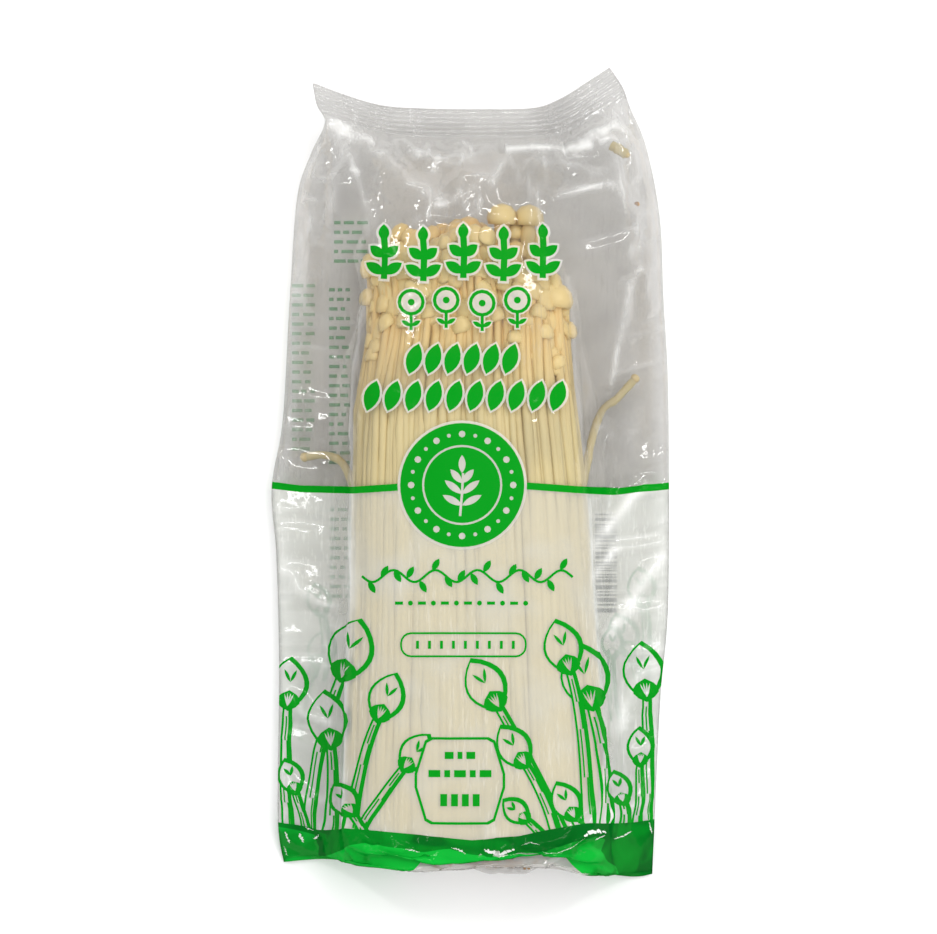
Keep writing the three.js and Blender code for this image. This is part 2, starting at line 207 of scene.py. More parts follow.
def ramp(tree, value, stops):
    made = addNode(tree, "ShaderNodeValToRGB", {"Fac": value})
    while len(made.color_ramp.elements) < len(stops):
        made.color_ramp.elements.new(0.5)
    for element, (place, colour) in zip(made.color_ramp.elements, stops):
        element.position = place
        element.color = (*colour, 1)
    return made.outputs["Color"]


def mixColour(tree, share, first, second):
    # a colour is a socket or its red, green and blue
    first, second = (value if isinstance(value, bpy.types.NodeSocket) else (*value, 1)
                     for value in (first, second))
    return addNode(tree, "ShaderNodeMix", {0: share, 6: first, 7: second}, data_type="RGBA").outputs[2]


def attribute(tree, name):
    return addNode(tree, "ShaderNodeAttribute", attribute_name=name).outputs["Fac"]


def finishSurface(tree, surface, colour, roughness, height, look):
    tree.links.new(colour, surface.inputs["Base Color"])
    surface.inputs["Roughness"].default_value = roughness
    bump = outputOf(tree, "ShaderNodeBump", {
        "Height": height, "Strength": look["bumpStrength"], "Distance": look["bumpHeight"] * mm})
    tree.links.new(bump, surface.inputs["Normal"])


flesh = {
    # pale colour and the deeper orange-brown of painted shade, how the streaks are stretched, and the
    # roughness
    "stem": ((0.655, 0.552, 0.288), (0.82, 0.51, 0.17), (1, 0.06, 1), 0.42),
    "cap": ((0.78, 0.605, 0.28), (0.82, 0.53, 0.19), (0.5, 0.5, 0.5), 0.33),
    "streaks": (900, 4, 0.6),   # how fine, how detailed and how rough
    "streakShare": 0.5,
    "blotches": (160, 2),
    "blotchShare": 0.5,
    "blotchBase": -0.3,
    "tintShare": 0.5,
    "tintBase": -0.2,
    "middling": 0.93,      # the usual skin's brightness, and the brownest skin, as shares of the palest
    "brownest": (0.9, 0.78, 0.55),
    # how far the painted shade tints inner stems and stems between the caps towards the deeper colour
    "deepShadeShare": 0.92,
    "bumpStrength": 0.25,
    "bumpHeight": 0.4,
}


def makeFleshMaterial(name, pale, deep, stretch, roughness):
    made, tree, surface = newMaterial(name)
    streaks = noise(tree, objectPoint(tree, stretch), *flesh["streaks"])
    blotches = noise(tree, objectPoint(tree), *flesh["blotches"])
    blotches = doMath(tree, "MULTIPLY_ADD", blotches, flesh["blotchShare"], flesh["blotchBase"])
    tinted = doMath(tree, "MULTIPLY_ADD", attribute(tree, "tint"), flesh["tintShare"], flesh["tintBase"])
    share = doMath(tree, "MULTIPLY_ADD", streaks, flesh["streakShare"], tinted)
    share = doMath(tree, "ADD", share, blotches, clamp=True)
    brown = [a * b for a, b in zip(pale, flesh["brownest"])]
    skin = ramp(tree, share, [(0.0, pale), (0.5, [flesh["middling"] * a for a in pale]), (1.0, brown)])
    # painted shade: inner stems and stems between the caps are tinted towards the deeper orange-brown
    inside = doMath(tree, "MULTIPLY", attribute(tree, "depth"), flesh["deepShadeShare"], clamp=True)
    finishSurface(tree, surface, mixColour(tree, inside, skin, deep), roughness, streaks, flesh)
    return made


stemFinish = makeFleshMaterial("stemFinish", *flesh["stem"])
capFinish = makeFleshMaterial("capFinish", *flesh["cap"])

rootSkin = {
    "lumps": (260, 6, 0.65),
    "colours": [(0.3, (0.16, 0.07, 0.025)), (0.5, (0.42, 0.25, 0.11)), (0.7, (0.70, 0.55, 0.33))],
    "roughness": 0.8,
    "bumpStrength": 0.7,
    "bumpHeight": 1,
}


def makeRootMaterial():
    made, tree, surface = newMaterial("rootFinish")
    lumps = noise(tree, objectPoint(tree), *rootSkin["lumps"])
    colour = ramp(tree, lumps, rootSkin["colours"])
    finishSurface(tree, surface, colour, rootSkin["roughness"], lumps, rootSkin)
    return made


rootFinish = makeRootMaterial()


bunch = {
    # the half width and height, and the middle, by the place along the bunch
    "halfWidth": [(-84, 29.8), (-60, 29), (-30, 27.2), (-3, 26.3), (20, 25.4), (40, 23.4), (49, 23.4),
                  (62, 21)],
    "halfHeight": [(-84, 13.6), (-40, 13.6), (10, 13.2), (40, 12.4), (62, 11)],
    "middle": [(-84, 1.4), (-30, 0.5), (-3, -0.2), (20, -1.1), (40, 0), (49, -2.4), (62, -2)],
    "span": (-90, 64),
    "tipLine": [(-26, 50), (-18, 53), (0, 55), (12, 53), (19, 47), (24, 43)],   # the highest tips, by x
    "tipSpan": (-28, 28),
    "rootEnd": -84.3,
    "squareness": 2.7,
    "lowest": 1.6,
}
stems = {
    "inset": 0.95,         # of the outer stems' middles
    "ringSpacing": 0.95,
    "secondSpacing": 1.7,
    "secondScale": (0.95, 1, 0.89),   # of the second ring and of the area inside it, to the outer ring
    "innerScale": (0.9, 1, 0.78),
    "spacing": 2.1,        # of the inner stems
    "density": 2e6,
    "radius": (0.95, 1.25),
    "sides": 6,
    "points": 9,           # along each stem
    "start": 1,            # how far past the root end the stems begin
    "wander": 0.9,         # sideways, and how quickly it changes along a stem
    "wanderPace": 16.0,
    "wanderFrom": (-84, -50),
    "below": 24,           # how far under the tip line the outermost tips may be
    "belowPower": 2.5,
    "tipScatter": 4,
    "drawnIn": 45,         # the length under its cap in which a stem comes inwards, to make room for the cap
    "behind": 2.3,         # how far back the stems go that pass behind the lower caps
    "behindFrom": (16, 30),
    "behindTip": (2, 13),
    "margin": 1.2,         # how far a stem may stand out of the bunch's outline
    "darkFrom": (10, 36),  # where the stems between the caps get darker with painted shade, and how much
    "dark": 0.6,
    "innerDark": 1.15,     # how dark the painted shade makes the innermost stems
    "seed": 11,
}
caps = {
    "radius": (2.2, 4.1),
    "smallness": 1.3,      # above 1 there are more small caps than big ones
    "segments": 8,
    "tilt": 0.45,
    # the half profile of a cap of radius 1, from under the stem's top round the rim to the crown
    "profile": [(0.0, -0.1), (0.52, -0.32), (0.88, -0.3), (1.0, 0.06), (0.9, 0.55), (0.6, 0.92),
                (0.0, 1.12)],
}


def rounded(angle):
    # cosine and sine for the bunch's squarish outline
    power = 2 / bunch["squareness"]
    c, s = math.cos(angle), math.sin(angle)
    return math.copysign(abs(c) ** power, c), math.copysign(abs(s) ** power, s)


def stemRingSize():
    return [(valueAt(bunch[side], 0) - stems["inset"]) * mm for side in ("halfWidth", "halfHeight")]


def sectionOutline(count=72):
    width, height = stemRingSize()
    corners = [rounded(2 * math.pi * k / count) for k in range(count)]
    return [(width * c, 0, height * s) for c, s in corners]


def outlinePoint(y, angle, inset, past=0):
    # a point on the bunch's outline at a place along it, drawn in by an inset
    width, height = valueAt(bunch["halfWidth"], y), valueAt(bunch["halfHeight"], y)
    c, s = rounded(angle)
    return ((valueAt(bunch["middle"], y) + (width - inset) * c) * mm, (y + past) * mm,
            (bunch["lowest"] + height + (height - inset) * s) * mm)


def tubeFaces(rows, sides):
    faces = []
    for row in range(rows - 1):
        for k in range(sides):
            a, b = row * sides + k, row * sides + (k + 1) % sides
            faces.append((a, a + sides, b + sides, b))
    return faces


def lathe(profile, segments):
    verts, faces = [], []
    rings = []
    for radius, y in profile:
        if radius == 0:
            verts.append((0, y, 0))
            rings.append([len(verts) - 1] * segments)
            continue
        start = len(verts)
        for k in range(segments):
            angle = 2 * math.pi * k / segments
            verts.append((radius * math.cos(angle), y, -radius * math.sin(angle)))
        rings.append(list(range(start, start + segments)))
    for low, high in zip(rings, rings[1:]):
        for k in range(segments):
            n = (k + 1) % segments
            face = [low[k], low[n], high[n], high[k]]
            faces.append(tuple(dict.fromkeys(face)))
    return verts, faces


def tableCurve(tree, table, place, placeRange):
    low, high = placeRange
    values = [row[1] for row in table]
    bottom, top = min(values), max(values)
    curve = addNode(tree, "ShaderNodeFloatCurve", {"Value": mapRange(tree, place, inMetres(placeRange))})
    line = curve.mapping.curves[0]
    points = [((y - low) / (high - low), (value - bottom) / (top - bottom)) for y, value in table]
    points = [point for point in points if 0 <= point[0] <= 1]
    while len(line.points) < len(points):
        line.points.new(0.5, 0.5)
    for target, point in zip(line.points, points):
        target.location = point
        target.handle_type = "VECTOR"
    curve.mapping.update()
    return mapRange(tree, curve.outputs[0], (0.0, 1.0), inMetres((bottom, top)))


def newGeometryTree(name, inputs):
    tree = bpy.data.node_groups.new(name, "GeometryNodeTree")
    tree.interface.new_socket("Geometry", in_out="INPUT", socket_type="NodeSocketGeometry")
    for label, value in inputs.items():
        kind = "NodeSocketObject" if isinstance(value, bpy.types.Object) else (
            "NodeSocketInt" if isinstance(value, int) else "NodeSocketFloat")
        tree.interface.new_socket(label, in_out="INPUT", socket_type=kind)
    tree.interface.new_socket("Geometry", in_out="OUTPUT", socket_type="NodeSocketGeometry")
    return tree, tree.nodes.new("NodeGroupInput").outputs, tree.nodes.new("NodeGroupOutput").inputs[0]


def bakeGeometry(name, base, makeTree, inputs):
    # the piece that a tree makes from a base object, as a plain mesh
    tree = makeTree(inputs)
    modifier = base.modifiers.new(tree.name, "NODES")
    modifier.node_group = tree
    for socket in tree.interface.items_tree:
        if socket.in_out == "INPUT" and socket.name in inputs:
            modifier[socket.identifier] = inputs[socket.name]
    graph = bpy.context.evaluated_depsgraph_get()
    mesh = bpy.data.meshes.new_from_object(base.evaluated_get(graph), depsgraph=graph)
    mesh.transform(Matrix.Translation(shift))
    made = bpy.data.objects.new(name, mesh)
    bpy.context.scene.collection.objects.link(made)
    bpy.data.objects.remove(base)
    print(name + ":", len(mesh.polygons), "faces")
    return made


def randomValue(tree, low, high, seed):
    made = addNode(tree, "FunctionNodeRandomValue", {2: low, 3: high, 8: seed}, data_type="FLOAT")
    tree.links.new(tree.nodes.new("GeometryNodeInputIndex").outputs[0], made.inputs[7])
    return made.outputs[1]


def store(tree, geometry, name, value, domain="POINT"):
    return outputOf(tree, "GeometryNodeStoreNamedAttribute", {
        "Geometry": geometry, "Name": name, "Value": value}, data_type="FLOAT", domain=domain)


def readBack(tree, name):
    return outputOf(tree, "GeometryNodeInputNamedAttribute", {"Name": name}, data_type="FLOAT")


def joined(tree, *parts):
    join = addNode(tree, "GeometryNodeJoinGeometry")
    for part in parts:
        tree.links.new(part, join.inputs[0])
    return join.outputs[0]


def placed(tree, geometry, position):
    return outputOf(tree, "GeometryNodeSetPosition", {"Geometry": geometry, "Position": position})


def randomOffset(tree, scale):
    # a vector that changes smoothly and at random from place to place
    colour = addNode(tree, "ShaderNodeTexNoise", {"Scale": scale, "Detail": 1.0}).outputs["Color"]
    return outputOf(tree, "ShaderNodeVectorMath", {0: colour, 1: (-0.5, -0.5, -0.5)}, operation="ADD")


def rodsAlong(tree, curves, sides, scale=1.0):
    circle = outputOf(tree, "GeometryNodeCurvePrimitiveCircle", {"Resolution": sides, "Radius": 1.0})
    rods = outputOf(tree, "GeometryNodeCurveToMesh", {
        "Curve": curves, "Profile Curve": circle, "Scale": scale, "Fill Caps": True})
    return outputOf(tree, "GeometryNodeSetShadeSmooth", {"Geometry": rods})


def crowned(tree, rods, domain, cap, **where):
    # puts a cap at each place, and makes rods and caps real
    crown = addNode(tree, "GeometryNodeObjectInfo", {"Object": cap}).outputs["Geometry"]
    crowns = outputOf(tree, "GeometryNodeInstanceOnPoints", {"Instance": crown, **where})
    parts = store(tree, rods, "isCap", 0.0, domain), store(tree, crowns, "isCap", 1.0, "INSTANCE")
    return outputOf(tree, "GeometryNodeRealizeInstances", {"Geometry": joined(tree, *parts)})


def finished(tree, geometry):
    isCap = doMath(tree, "GREATER_THAN", readBack(tree, "isCap"), 0.5)
    whole = outputOf(tree, "GeometryNodeSetMaterial", {"Geometry": geometry, "Material": stemFinish})
    return outputOf(tree, "GeometryNodeSetMaterial", {
        "Geometry": whole, "Selection": isCap, "Material": capFinish})


def superNorm(tree, x, z, width, height):
    power = bunch["squareness"]
    terms = []
    for value, size in ((x, width), (z, height)):
        share = doMath(tree, "ABSOLUTE", doMath(tree, "DIVIDE", value, size))
        terms.append(doMath(tree, "POWER", share, power))
    return doMath(tree, "POWER", doMath(tree, "ADD", *terms), 1 / power)


def makeStemTree(inputs):
    tree, given, result = newGeometryTree("mushroomStems", inputs)
    width0, height0 = stemRingSize()

    # one point for each stem: two rings of them round the outline, and the rest scattered inside
    outline = outputOf(tree, "GeometryNodeMeshToCurve", {"Mesh": given["Geometry"]})
    second = outputOf(tree, "GeometryNodeTransform", {"Geometry": outline, "Scale": stems["secondScale"]})
    rings = [outputOf(tree, "GeometryNodeCurveToPoints", {"Curve": ring, "Length": given[gap]},
                      mode="LENGTH")
             for ring, gap in ((outline, "Ring Spacing"), (second, "Second Spacing"))]
    smaller = outputOf(tree, "GeometryNodeTransform", {
        "Geometry": given["Geometry"], "Scale": stems["innerScale"]})
    inside = outputOf(tree, "GeometryNodeDistributePointsOnFaces", {
        "Mesh": smaller, "Distance Min": given["Spacing"], "Density Max": stems["density"],
        "Seed": given["Seed"]}, distribute_method="POISSON")
    points = joined(tree, *rings, inside)

    position = outputOf(tree, "GeometryNodeInputPosition")
    x, y, z = addNode(tree, "ShaderNodeSeparateXYZ", {"Vector": position}).outputs
    cloud = store(tree, points, "outness", superNorm(tree, x, z, width0, height0))
    outness = readBack(tree, "outness")
    drop = doMath(tree, "MULTIPLY", randomValue(tree, 0.0, 1.0, 3), given["Below"])
    drop = doMath(tree, "MULTIPLY", drop, doMath(tree, "POWER", outness, stems["belowPower"]))
    tip = doMath(tree, "SUBTRACT", tableCurve(tree, bunch["tipLine"], x, bunch["tipSpan"]), drop)
    tip = doMath(tree, "SUBTRACT", tip, randomValue(tree, 0.0, stems["tipScatter"] * mm, 4))
    small = doMath(tree, "POWER", randomValue(tree, 0.0, 1.0, 5), caps["smallness"])
    capSpan = doMath(tree, "SUBTRACT", given["Cap Radius Max"], given["Cap Radius Min"])
    capRadius = doMath(tree, "MULTIPLY_ADD", small, capSpan, given["Cap Radius Min"])
    for name, value in (("tip", tip), ("capRadius", capRadius), ("ident", randomValue(tree, 0.0, 100.0, 6)),
                        ("tint", randomValue(tree, 0.0, 1.0, 7))):
        cloud = store(tree, cloud, name, value)

    # straight stems and upright caps
    line = outputOf(tree, "GeometryNodeCurvePrimitiveLine", {"Start": (0, 0, 0), "End": (0, 1, 0)})
    line = outputOf(tree, "GeometryNodeResampleCurve", {"Curve": line, "Count": stems["points"]})
    rod = rodsAlong(tree, line, stems["sides"])
    tipBack, capBack, rootEnd = readBack(tree, "tip"), readBack(tree, "capRadius"), given["Root End"]
    radius = randomValue(tree, *inMetres(stems["radius"]), 8)
    size = combined(tree, radius, doMath(tree, "SUBTRACT", tipBack, rootEnd), radius)
    feet = placed(tree, cloud, combined(tree, x, rootEnd, z))
    rods = outputOf(tree, "GeometryNodeInstanceOnPoints", {"Points": feet, "Instance": rod, "Scale": size})
    tilts = [doMath(tree, "MULTIPLY", randomValue(tree, -1.0, 1.0, k), given["Cap Tilt"]) for k in (9, 12)]
    lean = combined(tree, tilts[0], randomValue(tree, 0.0, wholeTurn, 10), tilts[1])
    tops = placed(tree, cloud, combined(tree, x, tipBack, z))
    real = crowned(tree, rods, "INSTANCE", given["Cap"], Points=tops, Rotation=lean, Scale=capBack)

    # bend them all to the bunch's shape, keeping each inside it
    toTip = doMath(tree, "SUBTRACT", tipBack, y)
    room = doMath(tree, "MULTIPLY", doMath(tree, "SUBTRACT", capBack, given["Inset"]), outness)
    nearTip = mapRange(tree, toTip, (stems["drawnIn"] * mm, 0.0), smooth=True)
    inwards = doMath(tree, "MULTIPLY", doMath(tree, "MAXIMUM", room, 0.0), nearTip)
    ending = mapRange(tree, toTip, inMetres(stems["behindTip"]), smooth=True)
    passing = mapRange(tree, y, inMetres(stems["behindFrom"]), smooth=True)
    behind = doMath(tree, "MULTIPLY", doMath(tree, "MULTIPLY", ending, passing), given["Behind"])
    inwards = doMath(tree, "MAXIMUM", inwards, doMath(tree, "MULTIPLY", behind, outness))
    pace = combined(tree, 0.0, doMath(tree, "MULTIPLY", y, given["Wander Pace"]))
    drift = addNode(tree, "ShaderNodeTexNoise", {"Vector": pace, "W": readBack(tree, "ident"), "Scale": 1.0,
                                                "Detail": 1.0}, noise_dimensions="4D").outputs["Color"]
    drift = addNode(tree, "ShaderNodeSeparateXYZ", {"Vector": drift}).outputs
    free = mapRange(tree, y, inMetres(stems["wanderFrom"]))
    reach = doMath(tree, "MULTIPLY", doMath(tree, "MULTIPLY", given["Wander"], 4.0), free)
    moved, limits = [], []
    for value, size0, side, channel in ((x, width0, "halfWidth", 0), (z, height0, "halfHeight", 1)):
        size1 = doMath(tree, "SUBTRACT", tableCurve(tree, bunch[side], y, bunch["span"]), given["Inset"])
        size1 = doMath(tree, "SUBTRACT", size1, inwards)
        grown = doMath(tree, "DIVIDE", doMath(tree, "MULTIPLY", value, size1), size0)
        offset = doMath(tree, "MULTIPLY", doMath(tree, "SUBTRACT", drift[channel], 0.5), reach)
        moved.append(doMath(tree, "ADD", grown, offset))
        limits.append(doMath(tree, "ADD", size1, stems["margin"] * mm))
    past = doMath(tree, "MAXIMUM", superNorm(tree, *moved, *limits), 1.0)
    middle = tableCurve(tree, bunch["middle"], y, bunch["span"])
    across = doMath(tree, "ADD", doMath(tree, "DIVIDE", moved[0], past), middle)
    up = doMath(tree, "ADD", doMath(tree, "DIVIDE", moved[1], past), given["Lowest"])
    up = doMath(tree, "ADD", up, tableCurve(tree, bunch["halfHeight"], y, bunch["span"]))
    bent = placed(tree, real, combined(tree, across, y, up))

    # painted shade: stems are darker towards the middle and between the caps
    shadeBetween = mapRange(tree, y, inMetres(stems["darkFrom"]), (0.0, stems["dark"]), smooth=True)
    shadeBetween = doMath(tree, "MULTIPLY", shadeBetween, doMath(tree, "SUBTRACT", 1.0, readBack(tree, "isCap")))
    depth = doMath(tree, "MULTIPLY_ADD", outness, -stems["innerDark"], stems["innerDark"], clamp=True)
    depth = doMath(tree, "ADD", depth, shadeBetween, clamp=True)
    tree.links.new(finished(tree, store(tree, bent, "depth", depth)), result)
    return tree


looseStems = {
    # points along each, in millimetres, the stem's radius and its cap's
    "tall": [([(5, 15, 13), (6.4, 38, 15.4), (7.2, 57, 16)], 1.7, 3.4),
             ([(9.5, 15, 11.5), (12, 38, 14), (13.2, 56.8, 14.5)], 1.7, 3.4),
             ([(8, 15, 12), (9.6, 38, 12.8), (10.1, 53.6, 13)], 1.6, 2.6),
             ([(12.5, 15, 11), (14.8, 36, 12.2), (15.4, 52.4, 12.4)], 1.6, 2.4),
             ([(4, 15, 12), (5.2, 38, 12.8), (5.4, 51.4, 13)], 1.5, 2.5)],
    # the big caps in front, at the left and on the right shoulder
    "front": [([(-18.6, 24, 15), (-20, 36, 16), (-20.6, 45.4, 15)], 1.5, 4.3),
              ([(-14.6, 24, 18), (-14.8, 38, 18.4), (-14.6, 47.4, 18.2)], 1.4, 3.8),
              ([(-21, 18, 12), (-22, 30, 12.8), (-22.2, 38.8, 12.6)], 1.4, 2.9),
              ([(17, 14, 18), (18.6, 28, 18), (19, 38.2, 16.8)], 1.7, 4.2),
              ([(19, 8, 14), (20.8, 22, 14), (21.4, 31.4, 13.2)], 1.5, 2.9),
              ([(-9, 16, 21), (-9.5, 28, 21.6), (-9.6, 35.4, 21.6)], 1.3, 3.1),
              ([(3, 14, 21), (3.4, 26, 21.8), (3.6, 33, 22)], 1.3, 2.9),
              ([(12.5, 22, 20), (13.4, 36, 20.6), (13.2, 44, 20.4)], 1.4, 3.6),
              ([(-4, 26, 21), (-4.5, 40, 21.8), (-4, 47.5, 21.6)], 1.3, 3.4)],
    # stems that have come loose, and a broken bit near the top
    "stray": [([(31.9, 74.0, 11.5), (33.4, 73.2, 11.8), (35.4, 72.0, 11.6)], 1.15, 0.8),
              ([(22, -20, 12), (25, -6, 9), (27.4, 6, 6.6), (30, 14, 4.8), (33.4, 16.8, 4.2),
                (37.4, 21.3, 4.4)],
               0.95, 1.1),
              ([(-22, -24, 12), (-25, -9, 9), (-28.4, 1.4, 5.8), (-33, 4, 4.4), (-37.4, 3.5, 4.3)],
               0.95, 1.1)],
    "depth": 0.35,         # how dark the painted shade makes the stems that start among the others, and where those start
    "paintedShadeFrom": (0, 70),
    "sides": 9,
    "step": 1.2,
    "uneven": 0.06,        # how much the radius varies, as a share of it
    "wobble": 0.5,
    "wobblePace": 160.0,
    "tint": 0.4,
    "seed": 3,
}


def makeLooseTree(inputs):
    tree, given, result = newGeometryTree("looseStems", inputs)
    lines = outputOf(tree, "GeometryNodeMeshToCurve", {"Mesh": given["Geometry"]})
    radius = readBack(tree, "radius")
    lines = outputOf(tree, "GeometryNodeSetCurveRadius", {"Curve": lines, "Radius": radius})
    rods = rodsAlong(tree, lines, given["Sides"], radius)
    ends = outputOf(tree, "GeometryNodeCurveEndpointSelection", {"Start Size": 0, "End Size": 1})
    along = outputOf(tree, "GeometryNodeInputTangent")
    turn = outputOf(tree, "FunctionNodeAlignRotationToVector", {"Vector": along}, axis="Y")
    real = crowned(tree, rods, "POINT", given["Cap"], Points=lines, Selection=ends, Rotation=turn,
                   Scale=readBack(tree, "capRadius"))
    offset = outputOf(tree, "ShaderNodeVectorMath", {
        0: randomOffset(tree, looseStems["wobblePace"]), "Scale": given["Wobble"]}, operation="SCALE")
    bent = outputOf(tree, "GeometryNodeSetPosition", {"Geometry": real, "Offset": offset})
    isRod = doMath(tree, "SUBTRACT", 1.0, readBack(tree, "isCap"))
    # painted shade on the loose stems that start among the others, not on their caps
    depth = doMath(tree, "MULTIPLY", readBack(tree, "deep"), isRod)
    tinted = store(tree, store(tree, bent, "tint", looseStems["tint"]), "depth", depth)
    tree.links.new(finished(tree, tinted), result)
    return tree


def edgeAt(points, shares):
    # points at shares of the length of a smooth line through the given ones, and that length
    p = np.array(points, float)
    last = len(p) - 1
    u = np.linspace(0, last, 60 * last + 1)
    k = np.minimum(u.astype(int), last - 1)
    f = (u - k)[:, None]
    a, b, c, d = p[np.maximum(k - 1, 0)], p[k], p[k + 1], p[np.minimum(k + 2, last)]
    fine = 0.5 * (2 * b + (c - a) * f + (2 * a - 5 * b + 4 * c - d) * f ** 2
                  + (3 * b - a - 3 * c + d) * f ** 3)
    lengths = np.concatenate([[0], np.cumsum(np.linalg.norm(np.diff(fine, axis=0), axis=1))])
    whole = lengths[-1]
    return np.stack([np.interp(shares * whole, lengths, fine[:, axis]) for axis in (0, 1)], -1), whole


def edgeLength(points):
    return edgeAt(points, np.array([0.0]))[1]


def smoothLine(points, count):
    places, steps = np.array(points, float), np.linspace(0, 1, count)
    heights = np.interp(steps, np.linspace(0, 1, len(places)), places[:, 2])
    return np.column_stack([edgeAt(places[:, :2], steps)[0], heights])


def makeLooseStems(cap):
    rng = np.random.default_rng(looseStems["seed"])
    low, high = looseStems["paintedShadeFrom"]
    verts, edges, radii, capRadii, deep = [], [], [], [], []
    for points, radius, capRadius in looseStems["tall"] + looseStems["front"] + looseStems["stray"]:
        line = smoothLine(points, max(8, round(edgeLength(points) / looseStems["step"])))
        start, count = len(verts), len(line)
        verts += [tuple(p * mm) for p in line]
        edges += [(start + k, start + k + 1) for k in range(count - 1)]
        radii += list(radius * mm * (1 + looseStems["uneven"] * rng.standard_normal(count)))
        capRadii += [capRadius * mm] * count
        deep += [looseStems["depth"] if low < points[0][1] < high else 0.0] * count
    mesh = bpy.data.meshes.new("looseLines")
    mesh.from_pydata(verts, edges, [])
    for name, values in (("radius", radii), ("capRadius", capRadii), ("deep", deep)):
        storeOn(mesh, name, values)
    base = bpy.data.objects.new("looseLines", mesh)
    bpy.context.scene.collection.objects.link(base)
    return bakeGeometry("loose_stems", base, makeLooseTree, {
        "Sides": looseStems["sides"], "Wobble": looseStems["wobble"] * mm, "Cap": cap})


def softNoise(rng, rows, columns, cellsDown, cellsAcross):
    coarse = rng.random((cellsDown + 1, cellsAcross + 1))
    v, u = np.linspace(0, cellsDown, rows), np.linspace(0, cellsAcross, columns)
    i, j = np.minimum(v.astype(int), cellsDown - 1), np.minimum(u.astype(int), cellsAcross - 1)
    f, g = (v - i)[:, None], (u - j)[None]
    f, g = f * f * (3 - 2 * f), g * g * (3 - 2 * g)
    i, j = i[:, None], j[None]
    return (coarse[i, j] * (1 - f) * (1 - g) + coarse[i + 1, j] * f * (1 - g)
            + coarse[i, j + 1] * (1 - f) * g + coarse[i + 1, j + 1] * f * g)


root = {
    # the lump in which the stems have grown together: places along it, and how far in it lies there
    "stations": [(0, 3.2), (0.25, 1.7), (0.9, 0.9), (2, 0.55), (4, 0.4), (6, 0.45), (8, 0.55), (10, 0.7),
                 (11.5, 1.1), (12.6, 1.9), (13.2, 3.0)],
    "sides": 64,
    "bumps": (5, 26),      # how many along it and round it, and how high
    "bumpHeight": 0.9,
    "raggedFrom": 8,       # the station from which its edge is ragged, and how much
    "ragged": 1.2,
    "seed": 8,
}


def makeRoot():
    rng = np.random.default_rng(root["seed"])
    sides, rows = root["sides"], len(root["stations"])
    bumps = softNoise(rng, rows, sides + 1, *root["bumps"])
    bumps[:, -1] = bumps[:, 0]
    verts = []
    for row, (along, inset) in enumerate(root["stations"]):
        for k in range(sides):
            ragged = (root["ragged"] if row >= root["raggedFrom"] else 0) * (rng.random() - 0.5)
            verts.append(outlinePoint(bunch["rootEnd"] + along, 2 * math.pi * k / sides,
                                      inset + root["bumpHeight"] * bumps[row, k], ragged))
    faces = tubeFaces(rows, sides)
    for row, turned in ((0, False), (rows - 1, True)):
        ring = [row * sides + k for k in range(sides)]
        verts.append(tuple(np.mean([verts[k] for k in ring], axis=0)))
        for k in range(sides):
            face = (len(verts) - 1, ring[k], ring[(k + 1) % sides])
            faces.append(face[::-1] if turned else face)
    return addMesh("root_block", np.array(verts) + np.array(shift), faces, [rootFinish])


core = {
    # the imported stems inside, as one ribbed body: how far it lies inside the bunch's outline, by height
    "inset": [(-82, 1.45), (8, 1.5), (24, 3.6), (36, 5.6), (46, 9.2)],
    "sides": 370,
    "rows": 26,
    "ribs": 74,
    "ribHeight": 0.3,
    "sway": 2.2,           # of the ribs, and how many sways along it and round it
    "sways": (6, 40),
    "tint": 0.6,
    # how dark the painted shade makes this inner body
    "depth": 0.5,
    "seed": 2,
}


def makeCore():
    sides, rows = core["sides"], core["rows"]
    rng = np.random.default_rng(core["seed"])
    sway = core["sway"] * softNoise(rng, rows, sides + 1, *core["sways"])
    verts = []
    for row, y in enumerate(np.linspace(core["inset"][0][0], core["inset"][-1][0], rows)):
        for k in range(sides):
            angle = 2 * math.pi * k / sides
            rib = core["ribHeight"] * math.cos(core["ribs"] * angle + sway[row, k])
            verts.append(outlinePoint(y, angle, valueAt(core["inset"], y) + rib))
    ends = [tuple(range(sides)), tuple(range((rows - 1) * sides, rows * sides))[::-1]]
    faces = tubeFaces(rows, sides) + ends
    made = addMesh("inner_stems", np.array(verts) + np.array(shift), faces, [stemFinish])
    for name in ("tint", "depth"):
        storeOn(made.data, name, [core[name]] * len(verts))
    return made


def makeBunch():
    cap = addMesh("capShape", *lathe(caps["profile"], caps["segments"]), [capFinish])
    outline = sectionOutline()
    section = addMesh("section", outline, [tuple(range(len(outline)))], [])
    made = bakeGeometry("mushroom_stems", section, makeStemTree, {
        "Ring Spacing": stems["ringSpacing"] * mm, "Second Spacing": stems["secondSpacing"] * mm,
        "Spacing": stems["spacing"] * mm, "Below": stems["below"] * mm, "Cap Tilt": caps["tilt"],
        "Cap Radius Min": caps["radius"][0] * mm, "Cap Radius Max": caps["radius"][1] * mm,
        "Inset": stems["inset"] * mm, "Root End": (bunch["rootEnd"] + stems["start"]) * mm,
        "Lowest": bunch["lowest"] * mm, "Wander": stems["wander"] * mm, "Wander Pace": stems["wanderPace"],
        "Seed": stems["seed"], "Behind": stems["behind"] * mm, "Cap": cap})
    loose = makeLooseStems(cap)
    bpy.data.objects.remove(cap)
    return [made, loose, makeCore(), makeRoot()]


